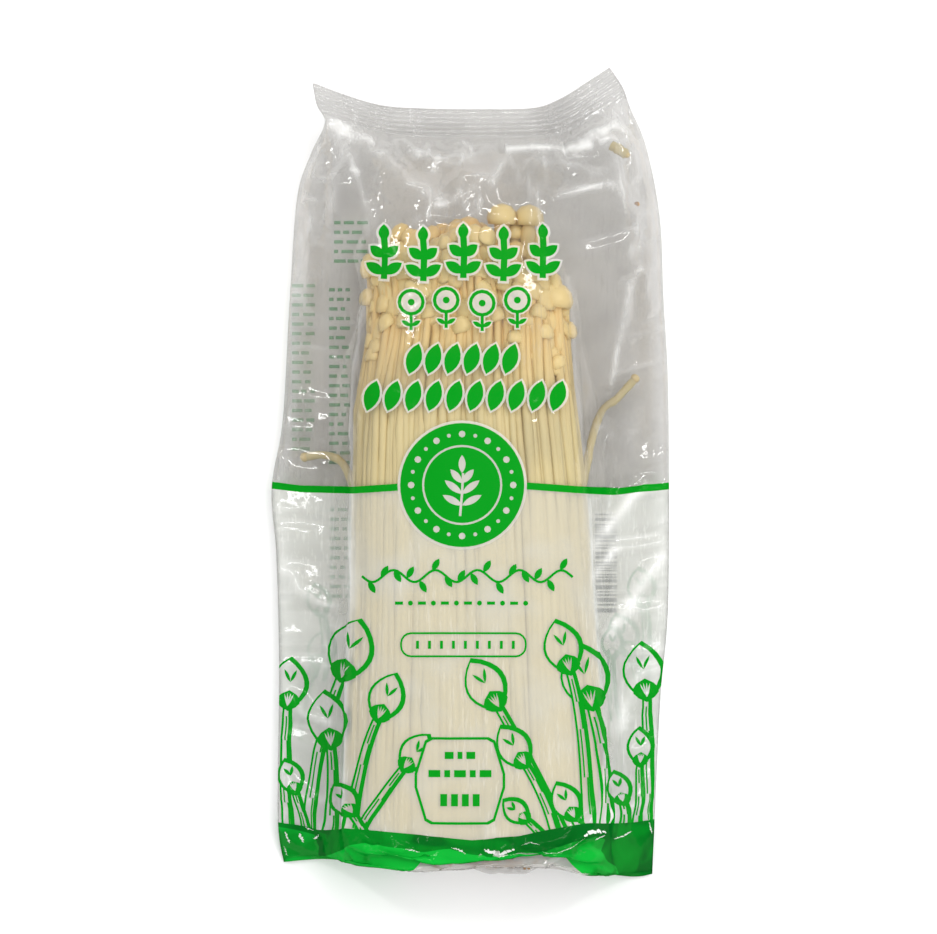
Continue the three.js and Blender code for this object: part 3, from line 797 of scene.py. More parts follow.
film = {
    # the edges of the bag as it lies, each a smooth line through a few points
    "bottomEdge": [(-42.5, -88.8), (-32.6, -88.1), (-20.6, -89.1), (-10.4, -89.8), (4, -89.0),
                   (16.7, -89.1), (24.8, -90.3), (36.6, -92.1), (41.6, -91.5)],
    "topEdge": [(-35.6, 88.1), (-28.1, 85.4), (-20.2, 83.2), (-11, 82.5), (2.5, 82.3), (14.5, 82.6),
                (20.6, 84.7), (26.3, 88.2), (31.5, 91.5)],
    "leftEdge": [(-42.5, -88.8), (-43.7, -78.4), (-43.4, -45), (-44, -19.5), (-45.1, -3.6), (-42.6, 12),
                 (-41, 39.4), (-39.2, 62.1), (-36, 72), (-32.8, 79), (-34.6, 83), (-35.6, 88.1)],
    "rightEdge": [(41.6, -91.5), (42.1, -76), (43.3, -51), (45.1, -28.5), (45.1, 16.8), (44, 39.4),
                  (43.1, 57.6), (39.9, 73.4), (36.2, 82.3), (34.5, 87), (31.5, 91.5)],
    "columns": 132,
    "rowStep": 0.8,
    "bottomHeight": 1.2,
    "foldHeight": 5,
    "foldStart": 0.06,
    "sealHeight": 10,
    "sealCornerRise": 3.5,
    "sealRise": (0.72, 0.96),
    "backRise": 0.83,
    "backCurl": 0.78,
    "sideAir": 3.6,        # how far the front film stands off the folds beside the bunch, and above the caps
    "topAir": 16.4,
    "airRise": (0.55, 0.84),
    "pastCaps": (55, 68),
    "pillow": (4, 1.6),    # how full the air makes the film, across it and towards the seal
    "fillet": 2.5,
    "drape": 0.75,         # of the film over the stems
    "drapeSlope": 2.0,
    "endTurn": 4.5,
    "leastGap": 0.2,       # between the front and back sheets, and under the back sheet
    "leastHeight": 0.12,
    "sealWidth": 7.2,
    "sealGap": 0.12,
    "ribs": 6,
    "ribDepth": 0.14,
    "ribRows": 6,
    "wave": (0.35, 30, 9),     # of the seal: how high, and how many along it and across
    "backFolds": (0.5, 44, 20),
    "backFlat": 0.35,      # the share of the back sheet's noise that leaves it flat
    "backHeld": (0.05, 0.03),
    "backFineFrom": 0.012, # how near the seal the back sheet keeps all its points
    "merge": 0.002,
    "shoulders": (0.3, 0.06, 0.9),   # where the columns lie closer, how wide that is and how much closer
    "climb": (0.97, 29, 1.4, 4),     # up the root end: the share in even steps and its rows, angle and rows
    "highest": 30.5,
    "seed": 5,
}


filmLength = sum(edgeLength(film[side]) for side in ("leftEdge", "rightEdge")) / 2
sealStart = 1 - film["sealWidth"] / filmLength


def layFlat(s, t):
    bottom, top = edgeAt(film["bottomEdge"], s)[0], edgeAt(film["topEdge"], s)[0]
    left, right = edgeAt(film["leftEdge"], t)[0], edgeAt(film["rightEdge"], t)[0]
    corner = {(i, j): edgeAt(film[("leftEdge", "rightEdge")[i]], np.array([float(j)]))[0][0]
              for i in (0, 1) for j in (0, 1)}
    t, s = t[:, None, None], s[None, :, None]
    return ((1 - t) * bottom[None] + t * top[None] + (1 - s) * left[:, None] + s * right[:, None]
            - (1 - s) * (1 - t) * corner[0, 0] - s * (1 - t) * corner[1, 0]
            - (1 - s) * t * corner[0, 1] - s * t * corner[1, 1])


def foldHeight(s, t):
    across = np.abs(2 * s - 1)
    seal = film["sealHeight"] + film["sealCornerRise"] * across ** 3
    share = smoothStep(0, film["foldStart"], t)
    low = film["bottomHeight"] + (film["foldHeight"] - film["bottomHeight"]) * share
    return low + (seal - low) * smoothStep(*film["sealRise"], t)


def drapeHeight(x, y):
    centre = bunch["lowest"] + valueAt(bunch["halfHeight"], y)
    halfWidth = valueAt(bunch["halfWidth"], y) + film["drape"]
    rise = valueAt(bunch["halfHeight"], y) + film["drape"]
    out = np.abs(x - valueAt(bunch["middle"], y)) / halfWidth
    top = centre + rise * np.maximum(1 - out ** bunch["squareness"], 0) ** (1 / bunch["squareness"])
    over = np.where(out >= 1, centre - (out - 1) * halfWidth * film["drapeSlope"], top)
    return over * (1 - smoothStep(*film["pastCaps"], y))


def frontHeight(s, t, x, y):
    fold = foldHeight(s, t)
    across = np.abs(2 * s - 1)
    air = film["sideAir"] + (film["topAir"] - film["sideAir"]) * smoothStep(*film["airRise"], t)
    closing = np.clip((t - film["airRise"][1]) / (sealStart - film["airRise"][1]), 0, 1)
    side, up = film["pillow"]
    pillow = fold + air * (1 - across ** side) * (1 - closing ** up)
    draped = drapeHeight(x, y)
    share = np.clip(0.5 + 0.5 * (pillow - draped) / film["fillet"], 0, 1)
    openFilm = draped + (pillow - draped) * share + film["fillet"] * share * (1 - share)
    end = np.clip(t * filmLength / film["endTurn"], 0, 1)
    return fold + (openFilm - fold) * np.sqrt(1 - (1 - end) ** 2)


def backHeight(s, t):
    toFold = smoothStep(film["backCurl"], 1, np.abs(2 * s - 1))
    toSeal = smoothStep(film["backRise"], sealStart, t)
    return np.maximum(foldHeight(s, t) * np.maximum(toFold, toSeal), film["leastHeight"])


# lines along which the film is creased, in pixels of the render, with their height and half width in
# millimetres and, where it isn't the usual share of the height, how strong the painted highlight along them
# is
creasesAndGlints = [
    ([(324, 118), (340, 124), (360, 138)], 1.3, 2.0),
    ([(338, 126), (352, 160), (361, 190), (372, 224)], 1.1, 2.2),
    ([(330, 134), (338, 168), (334, 208)], 0.9, 2.4),
    ([(352, 122), (372, 150), (398, 176), (432, 200)], 0.9, 2.2),
    ([(380, 153), (410, 176), (442, 200)], 0.8, 1.8), ([(487, 181), (450, 200), (413, 222)], 0.8, 1.8),
    ([(504, 160), (490, 190), (470, 214)], 0.7, 1.6),
    ([(410, 146), (436, 156), (456, 158), (486, 148)], 1.0, 1.8),
    ([(508, 149), (548, 147), (590, 144)], 1.5, 1.7),
    ([(576, 146), (590, 130), (612, 126), (626, 132)], 1.2, 1.6),
    ([(534, 160), (560, 162), (582, 168), (600, 176), (614, 188)], 1.1, 2.4),
    ([(560, 196), (584, 190), (606, 188)], 0.9, 1.6),
    ([(604, 140), (616, 176), (628, 220), (634, 268)], 0.8, 2.4),
    ([(322, 150), (312, 190), (304, 240), (300, 296)], 0.9, 2.6),
    ([(629, 290), (617, 350), (612, 384)], 0.9, 1.5), ([(650, 250), (654, 330), (656, 420)], 0.6, 1.5),
    ([(296, 290), (291, 350), (288, 430)], 0.6, 1.5),
    ([(596, 546), (614, 519), (632, 498), (646, 486)], 1.1, 2.1, 0.5),
    ([(595, 575), (606, 562), (616, 549)], 0.9, 1.5, 0.5),
    ([(610, 632), (630, 606), (643, 582), (668, 552)], 1.1, 2.1, 0.5),
    ([(352, 452), (353, 530), (356, 606)], 0.9, 1.4), ([(590, 450), (598, 520), (602, 600)], 0.7, 1.4),
    ([(282, 560), (300, 590), (326, 604)], 0.8, 1.8), ([(284, 690), (306, 716), (338, 724)], 0.7, 1.8),
    ([(660, 650), (634, 684), (618, 724)], 0.8, 2.0), ([(284, 790), (316, 800), (344, 790)], 0.7, 1.6),
    ([(652, 800), (628, 806), (606, 796)], 0.7, 1.6),
    ([(330, 852), (345, 847), (374, 843), (409, 846), (430, 840)], 1.5, 1.7),
    ([(425, 860), (452, 852), (481, 856), (512, 852)], 1.4, 1.6),
    ([(486, 843), (501, 850), (516, 845)], 1.2, 1.2),
    ([(526, 842), (544, 848), (568, 848), (588, 835), (604, 829)], 1.5, 1.5),
    ([(556, 862), (588, 852), (618, 856), (645, 845)], 1.4, 1.8),
    ([(284, 832), (296, 842), (312, 838)], 1.0, 1.4), ([(290, 856), (306, 846), (322, 858)], 1.0, 1.6),
    ([(612, 820), (622, 838), (640, 866)], 1.2, 1.8),
    # small ones that are only painted highlights, with no crease
    ([(330, 125), (340, 130), (348, 127)], 0, 1.26, 0.72),
    ([(331, 114), (344, 130), (358, 146)], 0, 0.81, 0.39), ([(316, 141), (330, 133)], 0, 0.81, 0.28),
    ([(366, 136), (371, 141)], 0, 0.9, 0.66), ([(336, 134), (342, 152), (357, 171)], 0, 0.9, 0.28),
    ([(352, 170), (360, 172)], 0, 0.81, 0.5), ([(415, 152), (420, 154)], 0, 0.9, 0.61),
    ([(439, 154), (437, 161), (433, 168)], 0, 0.81, 0.61), ([(446, 163), (462, 164)], 0, 0.72, 0.55),
    ([(447, 151), (455, 152)], 0, 0.72, 0.5), ([(461, 143), (472, 148)], 0, 0.81, 0.61),
    ([(464, 159), (478, 162)], 0, 0.72, 0.39), ([(500, 163), (497, 172), (493, 181)], 0, 0.9, 0.44),
    ([(510, 152), (530, 149), (560, 148), (590, 145)], 0, 1.08, 0.5),
    ([(585, 143), (594, 135), (605, 131)], 0, 0.99, 0.61),
    ([(599, 141), (611, 137), (624, 142)], 0, 0.9, 0.44), ([(604, 133), (617, 125)], 0, 0.81, 0.55),
    ([(606, 120), (622, 113)], 0, 0.72, 0.39), ([(565, 183), (572, 184)], 0, 0.72, 0.39),
    ([(577, 187), (596, 188)], 0, 0.81, 0.61), ([(597, 165), (607, 170)], 0, 0.81, 0.5),
    ([(637, 175), (638, 185)], 0, 0.81, 0.5), ([(643, 226), (642, 244), (637, 270)], 0, 0.8, 0.3),
    ([(637, 270), (631, 292), (626, 320), (617, 352)], 0, 0.85, 0.4),
    ([(617, 352), (615, 366), (612, 380)], 0, 0.9, 0.5),
]

paintedSheenAndCover = {
    # painted highlight on sharply bent film: the least bend for it in the front and the back, and the range
    "least": (0.05, 0.09),
    "range": 0.22,
    "share": 0.8,
    "contrast": 1.25,
    "creaseSheen": 0.16,        # how strong the painted highlight along the long creases is, to their height
    "crimp": (0.15, 0.16), # the welded strip's whiteness, and how much more or less on its ribs as painted light and shade
    "besideWeld": 0.1,
    "clings": (1.6, 0.1),  # heights over the bunch between which the film comes to cling to it,
    "clingCover": -0.15,   # and how much less of what is behind it the film then hides,
    "weldCover": 0.045,    # how much more in the weld and over the open top
    "topCover": 0.01,
    "topFrom": (0.76, 0.84),
    "tallCaps": (8.5, 57.5, 9),    # the tall caps under the open top, which it touches too: x, y and reach
    "haze": (70, 0.5, 0.8, 0.4),   # the film's cloudiness: how fine, its base, how strong, and how much less
}

crumple = {
    # the film crumples with every third point of its grid, and then with all of them: the steps of each
    "passes": [(3, 300), (1, 120)],
    "slack": (0.008, 0.06),    # spare length of the film in smooth places and in creased ones
    "patches": (14, 7),        # of more and less spare length, along and across, and their share in it
    "patchSlack": 0.25,
    "topSlack": 0.9,
    "topFrom": (0.72, 0.95),
    "sideSlack": 0.5,
    "sideFrom": (0.0, 0.3),
    "held": (0.06, 4, 0.03),   # how near the sides, the bottom end and the seal the film is held
    "pinned": 1.2,
    "nearBunch": (1.2, -0.6),  # heights over the bunch between which it grows calm
    "calmCreases": 0.8,
    "calmSlack": 0.88,
    "endZone": (9, 15),
    "endFolds": (1.5, 50, 14),
    "ridge": (1.4, 1.3),       # a crease's foot, as a share of its half width, and its sharpness
    "start": (1.6, 40, 20),
    "fine": 0.12,
    "push": 0.55,              # how strongly an edge that is too short is pushed, to one that is too long
    "stiffness": 0.03,
    "sharpness": 0.16,
    "sink": 0.25,              # how far the film may sink into the bunch's outline, and stay over the back
    "pastEnd": 0.15,
}


def toRender(points):
    # where a point of the drawing comes in the render, in its pixels
    x0, y0 = studio["middle"]
    grow = cameraDistance / (cameraDistance + studio["middleHeight"] - points[..., 2]) / studio["pixel"]
    width, height = studio["render"]
    x, y = (points[..., 0] - x0) * grow, (points[..., 1] - y0) * grow
    return np.stack([width / 2 + x, height / 2 - y], -1)


def unrolled(points, t):
    # as toRender, with the film that goes down over the root end rolled out below
    flat = toRender(points)
    turnRows = int(np.sum(t * filmLength < film["endTurn"] - 1e-6))
    for row in range(turnRows - 1, -1, -1):
        step = np.linalg.norm(points[row] - points[row + 1], axis=-1) / studio["pixel"]
        flat[row, :, 1] = flat[row + 1, :, 1] + step
    return flat


def awayFrom(line, places):
    line = np.array(line, float)
    nearest = np.full(places.shape[:-1], 1e9)
    for a, b in zip(line, line[1:]):
        along = np.clip(((places - a) @ (b - a)) / ((b - a) @ (b - a)), 0, 1)
        nearest = np.minimum(nearest, np.linalg.norm(places - a - along[..., None] * (b - a), axis=-1))
    return nearest


def frontFilm(s, t):
    flat = layFlat(s, t)
    x, y = flat[..., 0], flat[..., 1]
    return np.dstack([x, y, frontHeight(s[None], t[:, None], x, y)])


def backFilm(s, t):
    flat = layFlat(s, t)
    back = backHeight(s[None], t[:, None])
    back = np.minimum(back, frontFilm(s, t)[..., 2] - film["leastGap"])
    return np.dstack([flat[..., 0], flat[..., 1], back])


def edgeMask(shape):
    mask = np.zeros(shape, bool)
    mask[[0, -1]] = mask[:, [0, -1]] = True
    return mask


def around(grid):
    # the sum of each inner point's four neighbours
    return grid[:-2, 1:-1] + grid[2:, 1:-1] + grid[1:-1, :-2] + grid[1:-1, 2:]


def pairs(count, start):
    # every other pair of neighbours in a row of points
    end = start + 2 * ((count - start) // 2)
    return slice(start, end - 1, 2), slice(start + 1, end, 2)


def relaxed(points, base, under, slackAcross, slackAlong, pinned, steps):
    # lets the film crumple until each edge has its own length: the film bends but hardly stretches
    rows, columns = points.shape[:2]
    every, butLast, butFirst = slice(None), slice(0, -1), slice(1, None)
    both = (slackAcross + slackAlong) / 2
    edges = []
    for low, high in (pairs(rows, 0), pairs(rows, 1)):
        edges.append(((low, every), (high, every), slackAlong))
    for low, high in (pairs(columns, 0), pairs(columns, 1)):
        edges.append(((every, low), (every, high), slackAcross))
    for low, high in (pairs(rows, 0), pairs(rows, 1)):
        edges += [((low, butLast), (high, butFirst), both), ((low, butFirst), (high, butLast), both)]
    lengths = [np.linalg.norm(base[b] - base[a], axis=-1) * (1 + (slack[a] + slack[b]) / 2)
               for a, b, slack in edges]
    fixed = points[pinned].copy()
    for step in range(steps):
        for (a, b, _), rest in zip(edges, lengths):
            gap = points[b] - points[a]
            length = np.linalg.norm(gap, axis=-1)
            share = 0.5 * (1 - rest / length) * np.where(length > rest, 1.0, crumple["push"])
            pull = share[..., None] * gap
            points[a] += pull
            points[b] -= pull
        inner = points[1:-1, 1:-1]
        bend = around(points) / 4 - inner
        size = np.linalg.norm(bend, axis=-1, keepdims=True)
        inner += bend * crumple["stiffness"] / (1 + (size / crumple["sharpness"]) ** 2)
        if step % 3 == 0:
            overBunch = drapeHeight(points[..., 0], points[..., 1]) - crumple["sink"]
        points[..., 2] = np.clip(points[..., 2], np.maximum(overBunch, under), film["highest"])
        points[..., 1] = np.maximum(points[..., 1], base[0, :, 1] - crumple["pastEnd"])
        points[pinned] = fixed
    return points


def spread(grid, oldS, oldT, s, t):
    # a coarse grid's points on a finer one
    layers = []
    for values in np.moveaxis(grid, -1, 0):
        across = np.stack([np.interp(s, oldS, row) for row in values])
        layers.append(np.stack([np.interp(t, oldT, column) for column in across.T], -1))
    return np.dstack(layers)


def creasedBase(s, t):
    # the front sheet with its creases laid in, its spare length across and along, and where it is free
    base = frontFilm(s, t)
    rows, columns = base.shape[:2]
    places, nearSide = toRender(base), np.minimum(s, 1 - s)
    sides, bottom, seal = crumple["held"]
    free = smoothStep(0, sides, nearSide)[None] * smoothStep(0, bottom, t * filmLength)[:, None]
    free = free * (1 - smoothStep(sealStart - seal, sealStart, t))[:, None]
    onBunch = smoothStep(*crumple["nearBunch"], base[..., 2] - drapeHeight(base[..., 0], base[..., 1]))
    endZone = 1 - smoothStep(*crumple["endZone"], t * filmLength)[:, None]
    foot, power = crumple["ridge"]
    for line, height, halfWidth, *_ in creasesAndGlints:
        far = awayFrom(line, places) * studio["pixel"]
        ridge = np.maximum(1 - far / (halfWidth * foot), 0) ** power
        base[..., 2] += height * ridge * free * (1 - crumple["calmCreases"] * onBunch * (1 - endZone))
    high, *cells = crumple["endFolds"]
    folds = softNoise(np.random.default_rng(film["seed"] + 3), rows, columns, *cells) - 0.5
    base[..., 2] += high * folds * free * endZone
    low, high = crumple["slack"]
    patches = softNoise(np.random.default_rng(film["seed"] + 1), rows, columns, *crumple["patches"])
    calm = 1 - crumple["calmSlack"] * onBunch * (1 - endZone)
    slacks = []
    for most, where in ((crumple["topSlack"], smoothStep(*crumple["topFrom"], t)[:, None]),
                        (crumple["sideSlack"], (1 - smoothStep(*crumple["sideFrom"], nearSide))[None])):
        share = np.clip(crumple["patchSlack"] * patches + most * where, 0, 1)
        slacks.append((low + (high - low) * share) * calm)
    return base, slacks, free


def crumpledFront(s, t):
    rng = np.random.default_rng(film["seed"])
    passes = crumple["passes"]
    moved = None
    for stride, steps in passes:
        sHere, tHere = (u if stride == 1 else np.append(u[:-1:stride], u[-1]) for u in (s, t))
        base, slacks, free = creasedBase(sHere, tHere)
        rows, columns = base.shape[:2]
        if moved is None:
            high, *cells = crumple["start"]
            points = base.copy()
            points[..., 2] += (softNoise(rng, rows, columns, *cells) - 0.5) * high * free
        else:
            points = base + spread(moved, oldS, oldT, sHere, tHere)
            points[..., 2] += (rng.random((rows, columns)) - 0.5) * crumple["fine"] * free
        pinned = edgeMask((rows, columns)) | (tHere >= sealStart)[:, None]
        pinned |= (tHere * filmLength <= crumple["pinned"])[:, None]
        under = backFilm(sHere, tHere)[..., 2] + crumple["sink"]
        points = relaxed(points, base, under, *slacks, pinned, steps)
        moved, oldS, oldT = points - base, sHere, tHere
    return points if len(passes) > 1 else frontFilm(s, t) + spread(moved, oldS, oldT, s, t)


def filmGrid():
    fine = np.linspace(0, 1, 1001)
    where, wide, more = film["shoulders"]
    density = 1 + more * np.exp(-((np.abs(fine - 0.5) - where) / wide) ** 2)
    total = np.cumsum(density)
    s = np.interp(np.linspace(total[0], total[-1], film["columns"] + 1), total, fine)
    # rows up the root end, evenly far apart on the film
    share, rows, angle, lastRows = film["climb"]
    climb = [np.arcsin(np.linspace(0, share, rows)), np.linspace(angle, math.pi / 2, lastRows)]
    turn = film["endTurn"] * (1 - np.cos(np.concatenate(climb)))
    start, seal = turn[-1], film["sealWidth"]
    count = round((filmLength - seal - start) / film["rowStep"])
    even = np.linspace(start, filmLength - seal, count + 1)[1:]
    ribbed = filmLength - seal + seal * np.linspace(0, 1, film["ribRows"] * film["ribs"] + 1)[1:]
    return s, np.concatenate([turn, even, ribbed]) / filmLength, len(turn) + len(even) - 1


def ribWave(t):
    # how far along the weld each row is, and the height of its ribs
    share = np.clip((t - sealStart) / (1 - sealStart), 0, 1)
    return share, np.cos(2 * math.pi * film["ribs"] * share)


def makeFilmPoints():
    s, t, sealRow = filmGrid()
    front, back = crumpledFront(s, t), backFilm(s, t)
    rng = np.random.default_rng(film["seed"] + 2)
    rows, columns = front.shape[:2]
    sides, ends = film["backHeld"]
    free = (smoothStep(0, sides, np.minimum(s, 1 - s))[None]
            * smoothStep(0, ends, np.minimum(t, 1 - t))[:, None])
    high, *cells = film["backFolds"]
    folds = softNoise(rng, rows, columns, *cells) - film["backFlat"]
    back[..., 2] += free * high * np.maximum(folds, 0)
    # the welded strip, crimped into ribs
    ribShare, ribs = ribWave(t)
    rib = film["ribDepth"] * ribs * (ribShare > 0)
    high, *cells = film["wave"]
    wave = high * (softNoise(rng, rows, columns, *cells) - 0.5)
    weld = foldHeight(s[None], t[:, None]) + rib[:, None] + wave * smoothStep(0, 0.1, ribShare)[:, None]
    inSeal = np.arange(rows) >= sealRow
    front[inSeal, :, 2] = weld[inSeal] + film["sealGap"] / 2
    back[inSeal, :, 2] = weld[inSeal] - film["sealGap"] / 2
    border = edgeMask((rows, columns))
    front[border] = back[border] = (front[border] + back[border]) / 2
    return s, t, front, back


# the printing, drawn in pixels of the render: each mark is an ink and the loops that bound it
printing = {
    "line": [(240, 484), (270, 485), (300, 489), (354, 490), (400, 487), (462, 486), (528, 486), (585, 490),
             (620, 491), (668, 486), (700, 486)],
    "lineWidth": 7,
    "step": 3.2,           # the longest side of a mark's outline on the film
    "band": [(240, 820), (277, 822), (322, 826), (355, 828), (440, 834), (472, 837), (520, 834), (552, 828),
             (584, 823), (654, 819), (700, 816)],
    # where the band's ink stops short of the fold
    "bare": [(428, 868), (444, 863), (456, 864.5), (470, 860), (488, 861.5), (503, 857.5), (520, 859),
             (538, 858), (556, 863), (570, 868), (586, 880), (597, 902), (602, 940), (602, 1190),
             (398, 1190), (398, 940), (402, 905), (412, 882)],
    # the part of the band that is folded over and catches the light
    "flap": [(240, 824), (285, 827), (316, 831), (321, 842), (319, 853), (334, 849), (350, 845), (372, 843),
             (400, 845), (425, 848), (450, 845), (470, 850), (492, 853), (520, 850), (548, 851), (575, 843),
             (598, 835), (607, 838), (604, 850), (612, 862), (616, 880), (620, 940), (620, 1200),
             (240, 1200)],
    "halo": 2.4,
    "roundel": (462, 485, 62),
    # its leaves, and the leaves of the sprigs above it: how far up the stalk, angle and length
    "roundelLeaves": [(0.1, 28, 22), (0.1, 152, 22), (0.42, 38, 22), (0.42, 142, 22), (0.72, 50, 18),
                      (0.72, 130, 18), (1.0, 90, 18)],
    "sprigLeaves": [(0.12, 32, 21), (0.12, 148, 21), (0.52, 38, 18), (0.52, 142, 18), (0.9, 90, 17)],
    "sprigs": [(384, 252), (423, 254), (463, 251), (503, 254), (543, 251)],
    "buds": [(411, 308), (446, 306), (482, 309), (517, 306)],
    "leafRows": [(412, 374, 19.2, 6, 32), (370, 411, 20.6, 10, 32)],   # first x, foot, step, count, length
    "vine": (362, 573, 576, 6),
    "dashes": (395, 533, 603),
    "capsule": (400, 632, 527, 657),
    "badge": (460, 779, 47, 43),
    "badgeShape": [(-0.62, -1), (0.62, -1), (0.76, -0.92), (0.98, -0.16), (0.98, 0.16), (0.76, 0.92),
                   (0.62, 1), (-0.62, 1), (-0.76, 0.92), (-0.98, 0.16), (-0.98, -0.16), (-0.76, -0.92)],
    "badgeRows": [(754, 7, (9, 5, 9)), (772, 7, (12, 6, 12, 6, 12)), (798, 12, (7, 7, 7, 7))],
    "badgeGap": 4,
    "badgeRim": 2.8,
    # stalks with seed pods: foot, bend, head, and the pod's length
    "leftSpray": [((290, 840), (282, 770), (288, 704), 50), ((312, 840), (308, 760), (342, 674), 62),
                  ((330, 840), (336, 790), (330, 742), 56), ((310, 842), (304, 810), (296, 790), 36),
                  ((352, 842), (376, 800), (404, 766), 44), ((350, 842), (356, 760), (378, 716), 50),
                  ((372, 844), (360, 826), (352, 812), 38)],
    "rightSpray": [((566, 834), (532, 760), (498, 704), 56), ((606, 832), (612, 780), (592, 702), 66),
                   ((590, 834), (588, 720), (570, 668), 54), ((644, 832), (652, 760), (646, 694), 56),
                   ((560, 836), (546, 790), (526, 762), 48), ((632, 832), (640, 800), (640, 762), 38),
                   ((548, 838), (540, 828), (528, 818), 34), ((584, 832), (580, 824), (576, 816), 42),
                   ((622, 832), (626, 812), (622, 800), 34)],
    # painted highlights on the band's creases, as small spots of the white backing ink: a line and how wide
    "paintedGlints": [([(286, 831), (290, 841)], 3.2), ([(300, 832), (304, 839)], 3.0),
             ([(306, 825.5), (314, 827)], 1.8), ([(315, 835), (321, 831)], 2.6),
             ([(284, 847), (287, 857)], 1.8), ([(405, 846), (419, 847.5)], 1.7),
             ([(452, 844), (459, 846), (465, 849)], 2.0), ([(485, 846), (500, 849), (515, 847)], 5.0),
             ([(496, 852.5), (510, 851.5)], 1.8), ([(523, 843), (532, 840.5), (541, 843)], 1.4),
             ([(544, 851.5), (560, 853), (576, 847), (586, 838)], 1.3),
             ([(586, 835), (597, 830), (607, 831)], 4.2), ([(599, 839), (606, 834)], 1.8),
             ([(615, 836), (621, 834), (628, 829)], 2.2), ([(647, 822), (650, 832)], 2.0)],
    "paintedGlintSeed": 8,
    # the stalks on the back film, seen through the front
    "backSpray": [((650, 760), (650, 700), (630, 652), 44), ((640, 700), (652, 650), (644, 604), 40),
                  ((616, 720), (610, 690), (612, 656), 32), ((296, 740), (300, 700), (316, 664), 40),
                  ((320, 680), (332, 650), (322, 614), 34)],
    # plain dashes and stripes on the back film: left, right, top, bottom
    "backColumns": [(292, 315, 284, 452), (329, 350, 288, 470), (334, 368, 221, 262), (330, 351, 508, 600)],
    "backRow": 9.6,
    "stripes": (595, 617, 514, 612),
    "backSeed": 4,
}


def discLoop(x, y, radius, count=16):
    return [(x + radius * math.cos(2 * math.pi * k / count), y + radius * math.sin(2 * math.pi * k / count))
            for k in range(count)]


def boxLoop(x0, y0, x1, y1, radius=0.0, count=4):
    if not radius:
        return [(x0, y0), (x1, y0), (x1, y1), (x0, y1)]
    loop = []
    for turn, (x, y) in enumerate([(x1 - radius, y1 - radius), (x0 + radius, y1 - radius),
                                   (x0 + radius, y0 + radius), (x1 - radius, y0 + radius)]):
        for k in range(count + 1):
            angle = math.pi / 2 * (turn + k / count)
            loop.append((x + radius * math.cos(angle), y + radius * math.sin(angle)))
    return loop


def strokeLoop(line, widths):
    line = np.array(line, float)
    ahead = np.gradient(line, axis=0)
    ahead /= np.linalg.norm(ahead, axis=1)[:, None]
    side = np.stack([ahead[:, 1], -ahead[:, 0]], -1) * (np.broadcast_to(widths, len(line)) / 2)[:, None]
    return [tuple(p) for p in np.concatenate([line + side, (line - side)[::-1]])]


def curveLine(a, b, c, count=12):
    share = np.linspace(0, 1, count)[:, None]
    a, b, c = (np.array(p, float) for p in (a, b, c))
    return (1 - share) ** 2 * a + 2 * share * (1 - share) * b + share ** 2 * c


def direction(degrees):
    # anticlockwise from the right, for y that runs downwards
    return math.cos(math.radians(degrees)), -math.sin(math.radians(degrees))


def leafLoop(x, y, length, width, angle, grow=0.0, count=7):
    # a pointed oval from its foot at (x, y)
    c, s = direction(angle)
    loop = []
    for side in (1, -1):
        for k in range(count + 1) if side == 1 else range(count - 1, 0, -1):
            share = k / count
            along = -grow + (length + 2 * grow) * share
            out = side * (width / 2 + grow) * math.sin(math.pi * share) ** 0.8
            loop.append((x + along * c - out * s, y + along * s + out * c))
    return loop


def sprig(x, y, grow):
    foot, tip, thick = y + 27, y - 15, 6.5
    loops = [strokeLoop([(x, foot + grow), (x + 1, y), (x, tip)], thick + 2 * grow)]
    for share, angle, length in printing["sprigLeaves"]:
        loops.append(leafLoop(x, foot + (tip - foot) * share, length, 10.5, angle, grow))
    return loops


def bud(x, y, grow):
    return [boxLoop(x - 1.6 - grow, y + 6, x + 1.6 + grow, y + 22 + grow),
            leafLoop(x, y + 18, 11, 4.5, 30, grow), leafLoop(x, y + 18, 11, 4.5, 150, grow)]


def spray(stalks):
    marks = []
    for foot, bend, head, length in stalks:
        line = curveLine(foot, bend, head)
        ahead = np.gradient(line, axis=0)
        side = np.stack([-ahead[:, 1], ahead[:, 0]], -1) / np.linalg.norm(ahead, axis=1)[:, None]
        angle = math.degrees(math.atan2(-(line[-1] - line[-3])[1], (line[-1] - line[-3])[0]))
        c, s = direction(angle)
        thick = 14 * np.linspace(1.0, 0.75, len(line)) * (0.6 + 0.4 * length / 56)
        width = length * 0.76
        marks += [("green", [strokeLoop(line, thick)]),
                  ("frosted", [strokeLoop(line - 1.0 * side, thick - 6.4)])]
        for start, end, out in ((1, 4, 1.4), (3, 7, -1.6), (6, 9, 1.2), (8, 11, -0.8)):
            marks.append(("green", [strokeLoop((line + out * side)[start:end], 1.6)]))
        x, y = head[0] - 0.14 * length * c, head[1] - 0.14 * length * s
        marks += [("green", [leafLoop(x, y, length * 1.1, width, angle, 0, 9)]),
                  ("frosted", [leafLoop(x, y, length * 1.1, width, angle + 2.5, -3.9, 9)]),
                  ("green", [leafLoop(x, y, length * 0.42, width * 0.62, angle, 0, 5)])]
        for turn in (-20, -7, 7, 20):
            vein = leafLoop(x + 5 * c, y + 5 * s, length * 0.26, 1.7, angle + turn, 0, 3)
            marks.append(("frosted", [vein]))
        x, y = x + length * 0.58 * c, y + length * 0.58 * s
        for turn in (-26, 26):
            marks.append(("green", [leafLoop(x, y, length * 0.28, 3.4, angle + turn, 0, 4)]))
    return marks


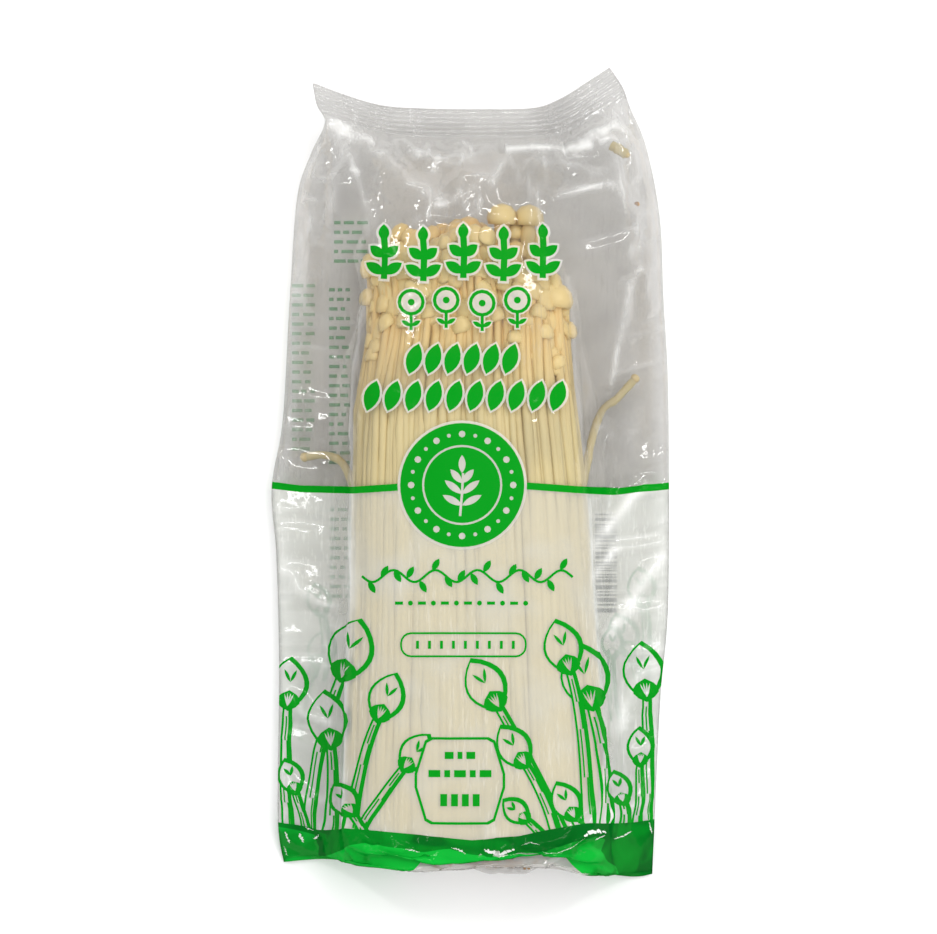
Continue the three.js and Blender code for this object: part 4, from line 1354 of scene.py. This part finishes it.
def paintedGlintMarks():
    # painted glints: small white spots strewn along each line
    rng = np.random.default_rng(printing["paintedGlintSeed"])
    marks = []
    for line, width in printing["paintedGlints"]:
        shares = np.linspace(0, 1, round(0.55 * edgeLength(line) + 0.5 * width) + 2)
        reach = 0.5 * width * np.sin(math.pi * (0.08 + 0.84 * shares)) ** 0.5
        middles = edgeAt(line, shares)[0] + rng.uniform(-0.45, 0.45, (len(shares), 2)) * reach[:, None]
        for (x, y), size in zip(middles, reach * rng.uniform(0.45, 1, len(shares))):
            turn, corners = rng.uniform(0, math.pi), 6
            out = rng.uniform(0.5, 1.2, corners) * size
            glintSpot = [(x + 1.5 * out[k] * math.cos(turn + math.tau * k / corners),
                     y + out[k] * math.sin(turn + math.tau * k / corners)) for k in range(corners)]
            marks.append(("backing", [glintSpot]))
    return marks


def zoneMarks(ground="frosted"):
    line, band = np.array(printing["line"], float), np.array(printing["band"], float)
    half = printing["lineWidth"] / 2
    floorCorners = [(700, 1200), (240, 1200)]
    return [(ground, [[tuple(p) for p in line] + floorCorners]),
            ("green", [[(x, y - half) for x, y in line] + [(x, y + half) for x, y in line[::-1]]]),
            ("band", [[tuple(p) for p in band] + floorCorners]),
            ("flap", [printing["flap"]]),
            ("folded", [printing["bare"]])]


def upperMarks():
    # sprigs, leaves and buds, each with a white rim under it
    halo = printing["halo"]
    shapes = [(halo, lambda grow, x=x, y=y: sprig(x, y, grow)) for x, y in printing["sprigs"]]
    for x, y, step, count, length in printing["leafRows"]:
        shapes += [(halo, lambda grow, x=x + k * step, y=y, length=length: [
            leafLoop(x - 3, y, length, 15.5, 72, grow)]) for k in range(count)]
    shapes += [(halo * 0.6, lambda grow, x=x, y=y: bud(x, y, grow)) for x, y in printing["buds"]]
    marks = [("white", [loop]) for rim, shape in shapes for loop in shape(rim)]
    marks += [("white", [discLoop(x, y - 6, 13.5 + halo * 0.6)]) for x, y in printing["buds"]]
    marks += [("green", [loop]) for _, shape in shapes for loop in shape(0)]
    for x, y in printing["buds"]:
        marks += [("green", [discLoop(x, y - 6, 13.5), discLoop(x, y - 6, 10)]),
                  ("green", [discLoop(x, y - 6, 3.5, 10)])]
    return marks


def roundelMarks():
    x, y, radius = printing["roundel"]
    marks = [("white", [discLoop(x, y, radius + 2.6, 56)]), ("green", [discLoop(x, y, radius, 56)]),
             ("white", [discLoop(x, y, 40, 44), discLoop(x, y, 38, 44)])]
    for k in range(24):
        angle = 2 * math.pi * k / 24
        dot = x + 51 * math.cos(angle), y + 51 * math.sin(angle), 3.4 - 1.4 * (k % 2)
        marks.append(("white", [discLoop(*dot, 8)]))
    marks.append(("white", [strokeLoop([(x - 2, y + 31), (x, y + 8), (x + 1, y - 12)], 2.4)]))
    for share, angle, length in printing["roundelLeaves"]:
        marks.append(("white", [leafLoop(x, y + 24 - 36 * share, length, 7, angle)]))
    return marks


def middleMarks():
    # the winding twig, the row of dashes and dots, and the capsule
    left, right, y, swing = printing["vine"]
    places = np.linspace(left, right, 67)
    wave = np.stack([places, y + swing * np.sin((places - left) * 2 * math.pi / 42)], -1)
    marks = [("green", [strokeLoop(wave, 2.5)])]
    for k, (px, py) in enumerate(wave[2:-1:4]):
        marks.append(("green", [leafLoop(px, py, 14, 6.5, (60 if k % 2 else -60), 0, 5)]))
    left, right, y = printing["dashes"]
    for k, px in enumerate(np.arange(left, right, 11.5)):
        loop = discLoop(px + 4, y, 2.6, 8) if k % 2 else boxLoop(px, y - 1.6, px + 8, y + 1.6)
        marks.append(("green", [loop]))
    x0, y0, x1, y1 = printing["capsule"]
    marks.append(("green", [boxLoop(x0, y0, x1, y1, 11), boxLoop(x0 + 2, y0 + 2, x1 - 2, y1 - 2, 9)]))
    for px in np.arange(x0 + 16, x1 - 10, 12):
        marks.append(("green", [boxLoop(px, (y0 + y1) / 2 - 4, px + 3, (y0 + y1) / 2 + 4)]))
    return marks


def badgeMarks():
    x, y, halfWidth, halfHeight = printing["badge"]
    gap, marks = printing["badgeGap"], []
    for size, ink in ((1, "green"), (1 - printing["badgeRim"] / halfWidth, "frosted")):
        marks.append((ink, [[(x + size * a * halfWidth, y + size * b * halfHeight)
                             for a, b in printing["badgeShape"]]]))
    for py, tall, lengths in printing["badgeRows"]:
        px = x - (sum(lengths) + gap * (len(lengths) - 1)) / 2
        for length in lengths:
            marks.append(("green", [boxLoop(px, py - tall / 2, px + length, py + tall / 2)]))
            px += length + gap
    return marks


def frontMarks():
    sprays = spray(printing["leftSpray"]) + spray(printing["rightSpray"])
    return (zoneMarks() + upperMarks() + roundelMarks() + middleMarks() + sprays + badgeMarks()
            + zoneMarks()[-3:] + paintedGlintMarks())


def backMarks():
    rng = np.random.default_rng(printing["backSeed"])
    marks = zoneMarks("backing")[:1]
    faint = {"green": "muted", "frosted": "backing"}
    marks += [(faint[ink], loops) for ink, loops in spray(printing["backSpray"])]
    for left, right, top, bottom in printing["backColumns"]:
        for py in np.arange(top, bottom, printing["backRow"]):
            px = left
            while px < right - 3:
                length = min(rng.uniform(4, 12), right - px)
                marks.append(("muted", [boxLoop(px, py, px + length, py + 3.4)]))
                px += length + rng.uniform(1.5, 4)
    x0, x1, top, bottom = printing["stripes"]
    py = top
    while py < bottom:
        tall = rng.choice([1.2, 1.8, 3.0, 4.2])
        marks.append(("grey", [boxLoop(x0, py, x1, py + tall)]))
        py += tall + rng.choice([1.2, 1.8, 2.8])
    return marks + zoneMarks()[1:]


def insideLoops(points, loops):
    inside = np.zeros(len(points), bool)
    px, py = points[:, 0], points[:, 1]
    for loop in loops:
        for (x0, y0), (x1, y1) in zip(loop, loop[1:] + loop[:1]):
            if y0 != y1:
                inside ^= ((y0 > py) != (y1 > py)) & (px < (x1 - x0) * (py - y0) / (y1 - y0) + x0)
    return inside


def finerLoop(loop):
    # more points along a loop's long sides, so that the ink lies on the film's folds
    finer = []
    for a, b in zip(loop, loop[1:] + loop[:1]):
        count = max(1, round(math.dist(a, b) / printing["step"]))
        finer += [(a[0] + (b[0] - a[0]) * k / count, a[1] + (b[1] - a[1]) * k / count) for k in range(count)]
    return finer


def bounded(loops):
    corners = np.concatenate([np.array(loop, float) for loop in loops])
    return corners.min(axis=0), corners.max(axis=0)


def printedSheet(points, flat, keep, marks, inks):
    # triangles over the grid's kept points, cut along the marks, and the ink of each
    rows, columns = flat.shape[:2]
    plane, solid = flat.reshape(-1, 2), points.reshape(-1, 3)
    index = np.arange(rows * columns).reshape(rows, columns)
    border = np.concatenate([index[0], index[1:, -1], index[-1, -2::-1], index[-2:0:-1, 0]])
    kept = np.flatnonzero(keep.reshape(-1))
    place = {int(i): k for k, i in enumerate(kept)}
    coords = [Vector(p) for p in plane[kept]]
    ring = [place[int(i)] for i in border]
    edges = list(zip(ring, ring[1:] + ring[:1]))
    drawn = set()
    for ink, loops in marks:
        for loop in loops:
            key = tuple(np.round(np.array(loop).ravel(), 3))
            if key in drawn:
                continue
            drawn.add(key)
            loop = finerLoop(loop)
            start = len(coords)
            coords += [Vector(p) for p in loop]
            edges += [(start + k, start + (k + 1) % len(loop)) for k in range(len(loop))]
    verts, _, faces, origins, _, _ = delaunay_2d_cdt(coords, edges, [], 0, 1e-4)
    verts, faces = np.array(verts), np.array(faces)
    middles = verts[faces].mean(axis=1)
    within = insideLoops(middles, [[tuple(p) for p in plane[border]]])
    faces, middles = faces[within], middles[within]

    # each point's place on the crumpled film: its own, or from the corners of the cell that it lies in
    spots = np.full((len(verts), 3), np.nan)
    for i, origin in enumerate(origins):
        first = min(origin, default=len(coords))
        if first < len(kept):
            spots[i] = solid[kept[first]]
    quads = np.stack([index[:-1, :-1], index[:-1, 1:], index[1:, 1:], index[1:, :-1]], -1).reshape(-1, 4)
    cells = np.concatenate([quads[:, [0, 1, 2]], quads[:, [0, 2, 3]]])
    finder = BVHTree.FromPolygons([(*p, 0) for p in plane], cells.tolist())
    for i in np.flatnonzero(np.isnan(spots[:, 0])):
        if 0 <= verts[i][0] <= studio["render"][0]:
            cell = cells[finder.find_nearest((*verts[i], 0))[2]]
            a, b, c = plane[cell]
            share = np.linalg.solve(np.array([b - a, c - a]).T, verts[i] - a)
            a, b, c = solid[cell]
            spots[i] = a * (1 - share.sum()) + b * share[0] + c * share[1]
    material = np.zeros(len(faces), int)
    for ink, loops in marks:
        low, high = bounded(loops)
        near = np.flatnonzero(((middles >= low) & (middles <= high)).all(axis=1))
        material[near[insideLoops(middles[near], loops)]] = inks.index(ink)
    used = np.unique(faces)
    renumber = np.zeros(len(verts), int)
    renumber[used] = np.arange(len(used))
    return spots[used], renumber[faces], material


def makeFilm():
    s, t, front, back = makeFilmPoints()
    inks = list(filmLooks)
    flatFront, flatBack = frontFilm(s, t), backFilm(s, t)
    keep, border = np.ones(front.shape[:2], bool), edgeMask(front.shape[:2])
    frontPoints, frontFaces, frontInk = printedSheet(front, unrolled(flatFront, t), keep, frontMarks(), inks)
    print("front printed:", len(frontFaces), "triangles")
    # the back sheet is flatter, so that every other point is enough
    flatBack[border] = flatFront[border]
    keep[:] = False
    keep[::2, ::2] = True
    keep |= (t > sealStart - film["backFineFrom"])[:, None]
    keep[1:len(t[t * filmLength < film["endTurn"]])] = False
    keep |= border
    backPoints, backFaces, backInk = printedSheet(back, toRender(flatBack), keep, backMarks(), inks)
    print("back printed:", len(backFaces), "triangles")
    verts = np.concatenate([frontPoints, backPoints]) * mm + np.array(shift)
    # the render's y runs downwards, so the front's faces are turned over
    faces = np.concatenate([frontFaces[:, ::-1], backFaces + len(frontPoints)])
    made = addMesh("film_sleeve", verts, faces, filmFinishes.values())
    made.data.polygons.foreach_set("material_index", np.concatenate([frontInk, backInk]).astype(np.int32))
    tool = bmesh.new()
    tool.from_mesh(made.data)
    bmesh.ops.remove_doubles(tool, verts=tool.verts, dist=film["merge"] * mm)
    tool.to_mesh(made.data)
    tool.free()
    addHaze(made.data)
    addSheenAndCover(made.data, s, t, front, back)
    print("film:", len(made.data.polygons), "triangles")
    return made


def addHaze(mesh):
    # how cloudy the film is from place to place
    scale, base, strength, less = paintedSheenAndCover["haze"]
    values = [base + strength * turbulence(v.co * scale, 3, False) - less for v in mesh.vertices]
    storeOn(mesh, "haze", np.clip(values, 0, 1))


def sheenAndCoverOf(sheet, smooth, t, least, isFront):
    # how much painted highlight each point of a sheet has, and how much more it hides than the film does
    # elsewhere
    ribShare, ribs = ribWave(t)
    inSeal = (ribShare > 0)[:, None]
    bend = np.zeros(sheet.shape[:2])
    moved = sheet - smooth
    bend[1:-1, 1:-1] = np.linalg.norm(around(moved) / 4 - moved[1:-1, 1:-1], axis=-1)
    # painted highlight where the film is sharply bent, and a little on the row beside the weld
    white = np.clip((bend - least) / paintedSheenAndCover["range"], 0, 1) * (t * filmLength > film["endTurn"])[:, None]
    white[np.flatnonzero(ribShare > 0)[0] - 1] = paintedSheenAndCover["besideWeld"]
    white = white * paintedSheenAndCover["share"]
    # painted highlights along the listed creases and glint lines
    for line, height, halfWidth, *strength in creasesAndGlints if isFront else []:
        far = awayFrom(line, toRender(smooth)) * studio["pixel"]
        strength = strength[0] if strength else paintedSheenAndCover["creaseSheen"] * height
        white += strength * np.maximum(1 - far / halfWidth, 0)
    for _ in range(2):
        white[1:-1, 1:-1] = 0.5 * white[1:-1, 1:-1] + 0.125 * around(white)
    # in the weld, painted light and shade on the ribs
    middle, more = paintedSheenAndCover["crimp"]
    white = np.where(inSeal, (middle + more * ribs)[:, None], np.minimum(paintedSheenAndCover["contrast"] * white, 1))
    clings = smoothStep(*paintedSheenAndCover["clings"], sheet[..., 2] - drapeHeight(sheet[..., 0], sheet[..., 1]))
    x, y, reach = paintedSheenAndCover["tallCaps"]
    clings = np.maximum(clings, smoothStep(reach, reach / 2, np.hypot(sheet[..., 0] - x, sheet[..., 1] - y)))
    cover = paintedSheenAndCover["clingCover"] * clings * isFront + paintedSheenAndCover["weldCover"] * inSeal
    return white, cover + paintedSheenAndCover["topCover"] * smoothStep(*paintedSheenAndCover["topFrom"], t)[:, None]


def addSheenAndCover(mesh, s, t, front, back):
    # stores the painted highlight and the cover of each point
    finder = KDTree(front.shape[0] * front.shape[1] * 2)
    values, covers = [], []
    for sheet, smooth, least in zip((front, back), (frontFilm(s, t), backFilm(s, t)), paintedSheenAndCover["least"]):
        white, cover = sheenAndCoverOf(sheet, smooth, t, least, sheet is front)
        for k, point in enumerate(sheet.reshape(-1, 3)):
            finder.insert(Vector(point) * mm + shift, len(values) + k)
        values += list(white.ravel())
        covers += list(cover.ravel())
    finder.balance()
    near = [finder.find(v.co)[1] for v in mesh.vertices]
    for name, source in (("creaseSheen", values), ("cover", covers)):
        storeOn(mesh, name, [source[i] for i in near])


endFold = {
    # the loose clear film folded under the root end
    "left": -11.5, "right": 25, "top": -83.5, "bottom": -88.6, "lowest": -91.6,
    "reach": (3.3, 9, 10),     # how far it comes out at the most, where that is, and how wide
    "rows": 30, "columns": 90,
    "height": 2.4,
    "base": 0.25,
    "ragged": (0.7, 16),
    "folds": (0.7, 5, 11),     # the share of the height, and how many down and across
    "smallFolds": (0.3, 11, 30),
    "sway": (1.2, 6, 8),
    "seed": 21,
}


def makeEndFold():
    rows, columns = endFold["rows"], endFold["columns"]
    rng = np.random.default_rng(endFold["seed"])
    u, v = np.linspace(0, 1, columns), np.linspace(0, 1, rows)
    x = endFold["left"] + (endFold["right"] - endFold["left"]) * u
    ragged, count = endFold["ragged"]
    uneven = softNoise(rng, 2, columns, 1, count)[0] - 0.5
    reach, middle, width = endFold["reach"]
    low = endFold["bottom"] - reach * np.exp(-((x - middle) / width) ** 2)
    low = np.maximum(low + ragged * uneven, endFold["lowest"])
    y = endFold["top"] + (low - endFold["top"])[None] * v[:, None]
    share, *cells = endFold["folds"]
    folds = 1 - np.abs(2 * softNoise(rng, rows, columns, *cells) - 1)
    smallShare, *cells = endFold["smallFolds"]
    small = 1 - np.abs(2 * softNoise(rng, rows, columns, *cells) - 1)
    rise = smoothStep(0, 0.35, v)[:, None] * (1 - smoothStep(0.8, 1, v)[:, None] * 0.7)
    z = endFold["base"] + endFold["height"] * (share * folds ** 2 + smallShare * small) * rise
    sway, *cells = endFold["sway"]
    across = x[None] + sway * (softNoise(rng, rows, columns, *cells) - 0.5)
    verts = np.dstack([across, y, z]).reshape(-1, 3) * mm + np.array(shift)
    index = np.arange(rows * columns).reshape(rows, columns)
    faces = np.stack([index[1:, :-1], index[1:, 1:], index[:-1, 1:], index[:-1, :-1]], -1).reshape(-1, 4)
    made = addMesh("end_fold", verts, faces, [filmFinishes["folded"]])
    addHaze(made.data)
    print("end fold:", len(made.data.polygons), "faces")
    return made


crumbs = {
    # bits of the root in the fold and beside it: left, right, bottom and top of where they lie, the least
    # height and how much higher they may lie, and how many
    "places": [(-9, 22, -90.2, -86.6, 1.3, 1.6, 60), (0, 12, -89.9, -88.5, 1.5, 1.5, 60),
               (-30, 30, -85.6, -84.7, 0.6, 8, 40), (37.4, 37.8, 60.5, 60.9, 15, 0.2, 2)],
    "size": (0.18, 0.75),
    "flatness": (0.7, 0.45),   # its width and height as shares of its length
    "lumps": 1.3,
    "lean": 0.4,
    "seed": 9,
}


def makeCrumbTree(inputs):
    tree, given, result = newGeometryTree("crumbs", inputs)
    points = outputOf(tree, "GeometryNodeMeshToPoints", {"Mesh": given["Geometry"]})
    bit = outputOf(tree, "GeometryNodeMeshIcoSphere", {"Radius": 1.0, "Subdivisions": 1})
    bit = outputOf(tree, "GeometryNodeSetPosition", {
        "Geometry": bit, "Offset": randomOffset(tree, crumbs["lumps"])})
    size = randomValue(tree, given["Smallest"], given["Largest"], given["Seed"])
    scale = combined(tree, size, *[doMath(tree, "MULTIPLY", size, share) for share in crumbs["flatness"]])
    lean = randomValue(tree, -crumbs["lean"], crumbs["lean"], 31)
    turn = combined(tree, lean, 0.0, randomValue(tree, 0.0, wholeTurn, 32))
    bits = outputOf(tree, "GeometryNodeInstanceOnPoints", {
        "Points": points, "Instance": bit, "Rotation": turn, "Scale": scale})
    real = outputOf(tree, "GeometryNodeRealizeInstances", {"Geometry": bits})
    coloured = outputOf(tree, "GeometryNodeSetMaterial", {"Geometry": real, "Material": rootFinish})
    tree.links.new(coloured, result)
    return tree


def makeCrumbs():
    rng = np.random.default_rng(crumbs["seed"])
    verts = []
    for left, right, bottom, top, low, height, count in crumbs["places"]:
        for _ in range(count):
            x, y = rng.uniform(left, right), rng.uniform(bottom, top)
            verts.append((x * mm, y * mm, (low + height * rng.random()) * mm))
    smallest, largest = inMetres(crumbs["size"])
    return bakeGeometry("root_crumbs", addMesh("crumbPlaces", verts, [], []), makeCrumbTree, {
        "Smallest": smallest, "Largest": largest, "Seed": crumbs["seed"]})


filmLooks = {
    # the clear film and each ink on it, in the order of the piece's materials: how much it hides and how
    # unevenly (clouds), how rough and strong its shine is (most is the limit), how much its painted crease
    # highlights hide, how strong its fine streaks of painted highlight are, how much its cling counts, and
    # the colour of its folds in painted shade
    "clear": {"name": "clearFilm", "colour": (0.215, 0.21, 0.207), "hides": 0.29, "roughness": 0.09,
              "bump": 0.3, "creaseSheen": 0.38, "streaks": 0.35, "clings": 1.0},
    "frosted": {"name": "frostedFilm", "colour": (0.655, 0.668, 0.638), "hides": 0.61, "roughness": 0.12,
                "bump": 0.3, "gloss": 0.8, "clouds": 0.4, "creaseSheen": 0.25, "streaks": 0.28,
                "whitest": (1, 1, 0.98), "clings": 0.9},
    "backing": {"name": "backingInk", "colour": (0.8, 0.81, 0.78), "hides": 0.85, "roughness": 0.12,
                "bump": 0.3, "gloss": 0.8, "clouds": 0.2},
    "white": {"name": "whiteInk", "colour": (0.64, 0.645, 0.60), "hides": 0.62, "roughness": 0.15,
              "bump": 0.3, "gloss": 0.8, "clouds": 0.1},
    "green": {"name": "greenInk", "colour": (0.001, 0.25, 0.009), "hides": 0.996, "roughness": 0.15,
              "bump": 0.3, "gloss": 0.5, "clouds": 0.01, "most": 0.009},
    # band and flap are one green ink in two shades: the band's darker green is painted shade, the flap's
    # lighter green painted light where the fold catches it
    "band": {"name": "bandInk", "colour": (0.001, 0.175, 0.012), "hides": 0.996, "roughness": 0.12,
             "bump": 0.5, "clouds": 0.01, "folded": (0.001, 0.11, 0.01), "most": 0.007},
    "flap": {"name": "flapInk", "colour": (0.003, 0.34, 0.028), "hides": 0.996, "roughness": 0.12,
             "bump": 0.5, "clouds": 0.01, "folded": (0.001, 0.22, 0.015), "most": 0.012},
    "folded": {"name": "foldedFilm", "colour": (0.66, 0.65, 0.63), "hides": 0.5, "roughness": 0.1,
               "bump": 0.4, "creaseSheen": 0.2},
    "muted": {"name": "mutedInk", "colour": (0.02, 0.31, 0.08), "hides": 0.62, "roughness": 0.15,
              "bump": 0.3, "clouds": 0.1},
    "grey": {"name": "greyInk", "colour": (0.03, 0.03, 0.035), "hides": 0.95, "roughness": 0.15,
             "bump": 0.3, "clouds": 0.1},
}


filmSurface = {
    "clear": (0.985, 0.98, 0.97, 1),
    "refraction": 1.55,
    "bodyRoughness": 0.5,
    # patterns: how they are stretched, then how fine, detailed, rough and distorted
    "crinkles": ((1, 1, 1), 420, 1, 0.5),
    "crinkleHeight": 0.6,
    # the band's folds: a colour in painted shade, the ink's own, and a painted-light copy (foldLight);
    # darker too where the film lies doubled
    "folds": ((0.4, 1, 1), 130, 2, 0.45, 0.6),
    "foldStops": (0.40, 0.50, 0.74),
    "foldLight": 1.2,
    "streaks": ((1, 0.13, 1), 1300, 2, 0.6, 0.2),
    "streakRange": (0.54, 0.72),
    "patches": ((1, 0.6, 1), 60, 1, 0.5),
    "patchRange": (0.42, 0.62),
}


def filmPattern(tree, name):
    stretch, *rest = filmSurface[name]
    return noise(tree, objectPoint(tree, stretch), *rest)


def makeFilmMaterial(name, colour, hides, roughness, bump, gloss=1.0, clouds=0.5, folded=None, creaseSheen=0.0,
                     streaks=0.0, most=0.15, whitest=(0.82, 0.82, 0.8), clings=0.0):
    made, tree, surface = newMaterial(name)
    surface.inputs["Base Color"].default_value = (*colour, 1)
    surface.inputs["Specular IOR Level"].default_value = 0
    surface.inputs["Roughness"].default_value = filmSurface["bodyRoughness"]
    # lighter and darker patches of the ink: painted light and shade of its folds, darker too where the film
    # lies doubled
    if folded:
        shades = folded, colour, [filmSurface["foldLight"] * a for a in colour]
        shade = ramp(tree, filmPattern(tree, "folds"), list(zip(filmSurface["foldStops"], shades)))
        tree.links.new(shade, surface.inputs["Base Color"])
    share = doMath(tree, "MULTIPLY_ADD", attribute(tree, "haze"), hides * clouds, hides * (1 - clouds / 2),
                   clamp=True)
    if clings:
        share = doMath(tree, "MULTIPLY_ADD", attribute(tree, "cover"), clings, share, clamp=True)
    if creaseSheen:
        # painted highlight: where creases and glints are, the film hides more and turns whiter
        bent = attribute(tree, "creaseSheen")
        if streaks:
            # painted highlight: fine lines along the film, in patches
            lines = mapRange(tree, filmPattern(tree, "streaks"), filmSurface["streakRange"])
            patches = mapRange(tree, filmPattern(tree, "patches"), filmSurface["patchRange"], (0.0, streaks))
            bent = doMath(tree, "MULTIPLY_ADD", lines, patches, bent, clamp=True)
        share = doMath(tree, "MULTIPLY_ADD", bent, creaseSheen, share, clamp=True)
        tree.links.new(mixColour(tree, bent, colour, whitest), surface.inputs["Base Color"])
    clear = outputOf(tree, "ShaderNodeBsdfTransparent", {"Color": filmSurface["clear"]})
    sheet = outputOf(tree, "ShaderNodeMixShader", {0: share, 1: clear, 2: surface.outputs[0]})
    crinkle = outputOf(tree, "ShaderNodeBump", {
        "Height": filmPattern(tree, "crinkles"), "Strength": bump,
        "Distance": filmSurface["crinkleHeight"] * mm})
    shine = outputOf(tree, "ShaderNodeBsdfGlossy", {
        "Color": (1, 1, 1, 1), "Roughness": roughness, "Normal": crinkle})
    facing = outputOf(tree, "ShaderNodeFresnel", {"IOR": filmSurface["refraction"]})
    facing = doMath(tree, "MINIMUM", doMath(tree, "MULTIPLY", facing, gloss), most)
    both = outputOf(tree, "ShaderNodeMixShader", {0: facing, 1: sheet, 2: shine})
    tree.links.new(both, tree.nodes["Material Output"].inputs["Surface"])
    return made


filmFinishes = {ink: makeFilmMaterial(**look) for ink, look in filmLooks.items()}

mushrooms = makeBunch()
for piece in mushrooms:
    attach(piece, "root")
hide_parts("mushroom_bunch")

crumbPiece = makeCrumbs()
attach(crumbPiece, "root")
sleeve, fold = makeFilm(), makeEndFold()
for piece in (sleeve, fold):
    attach(piece, "root")
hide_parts("film_bag")
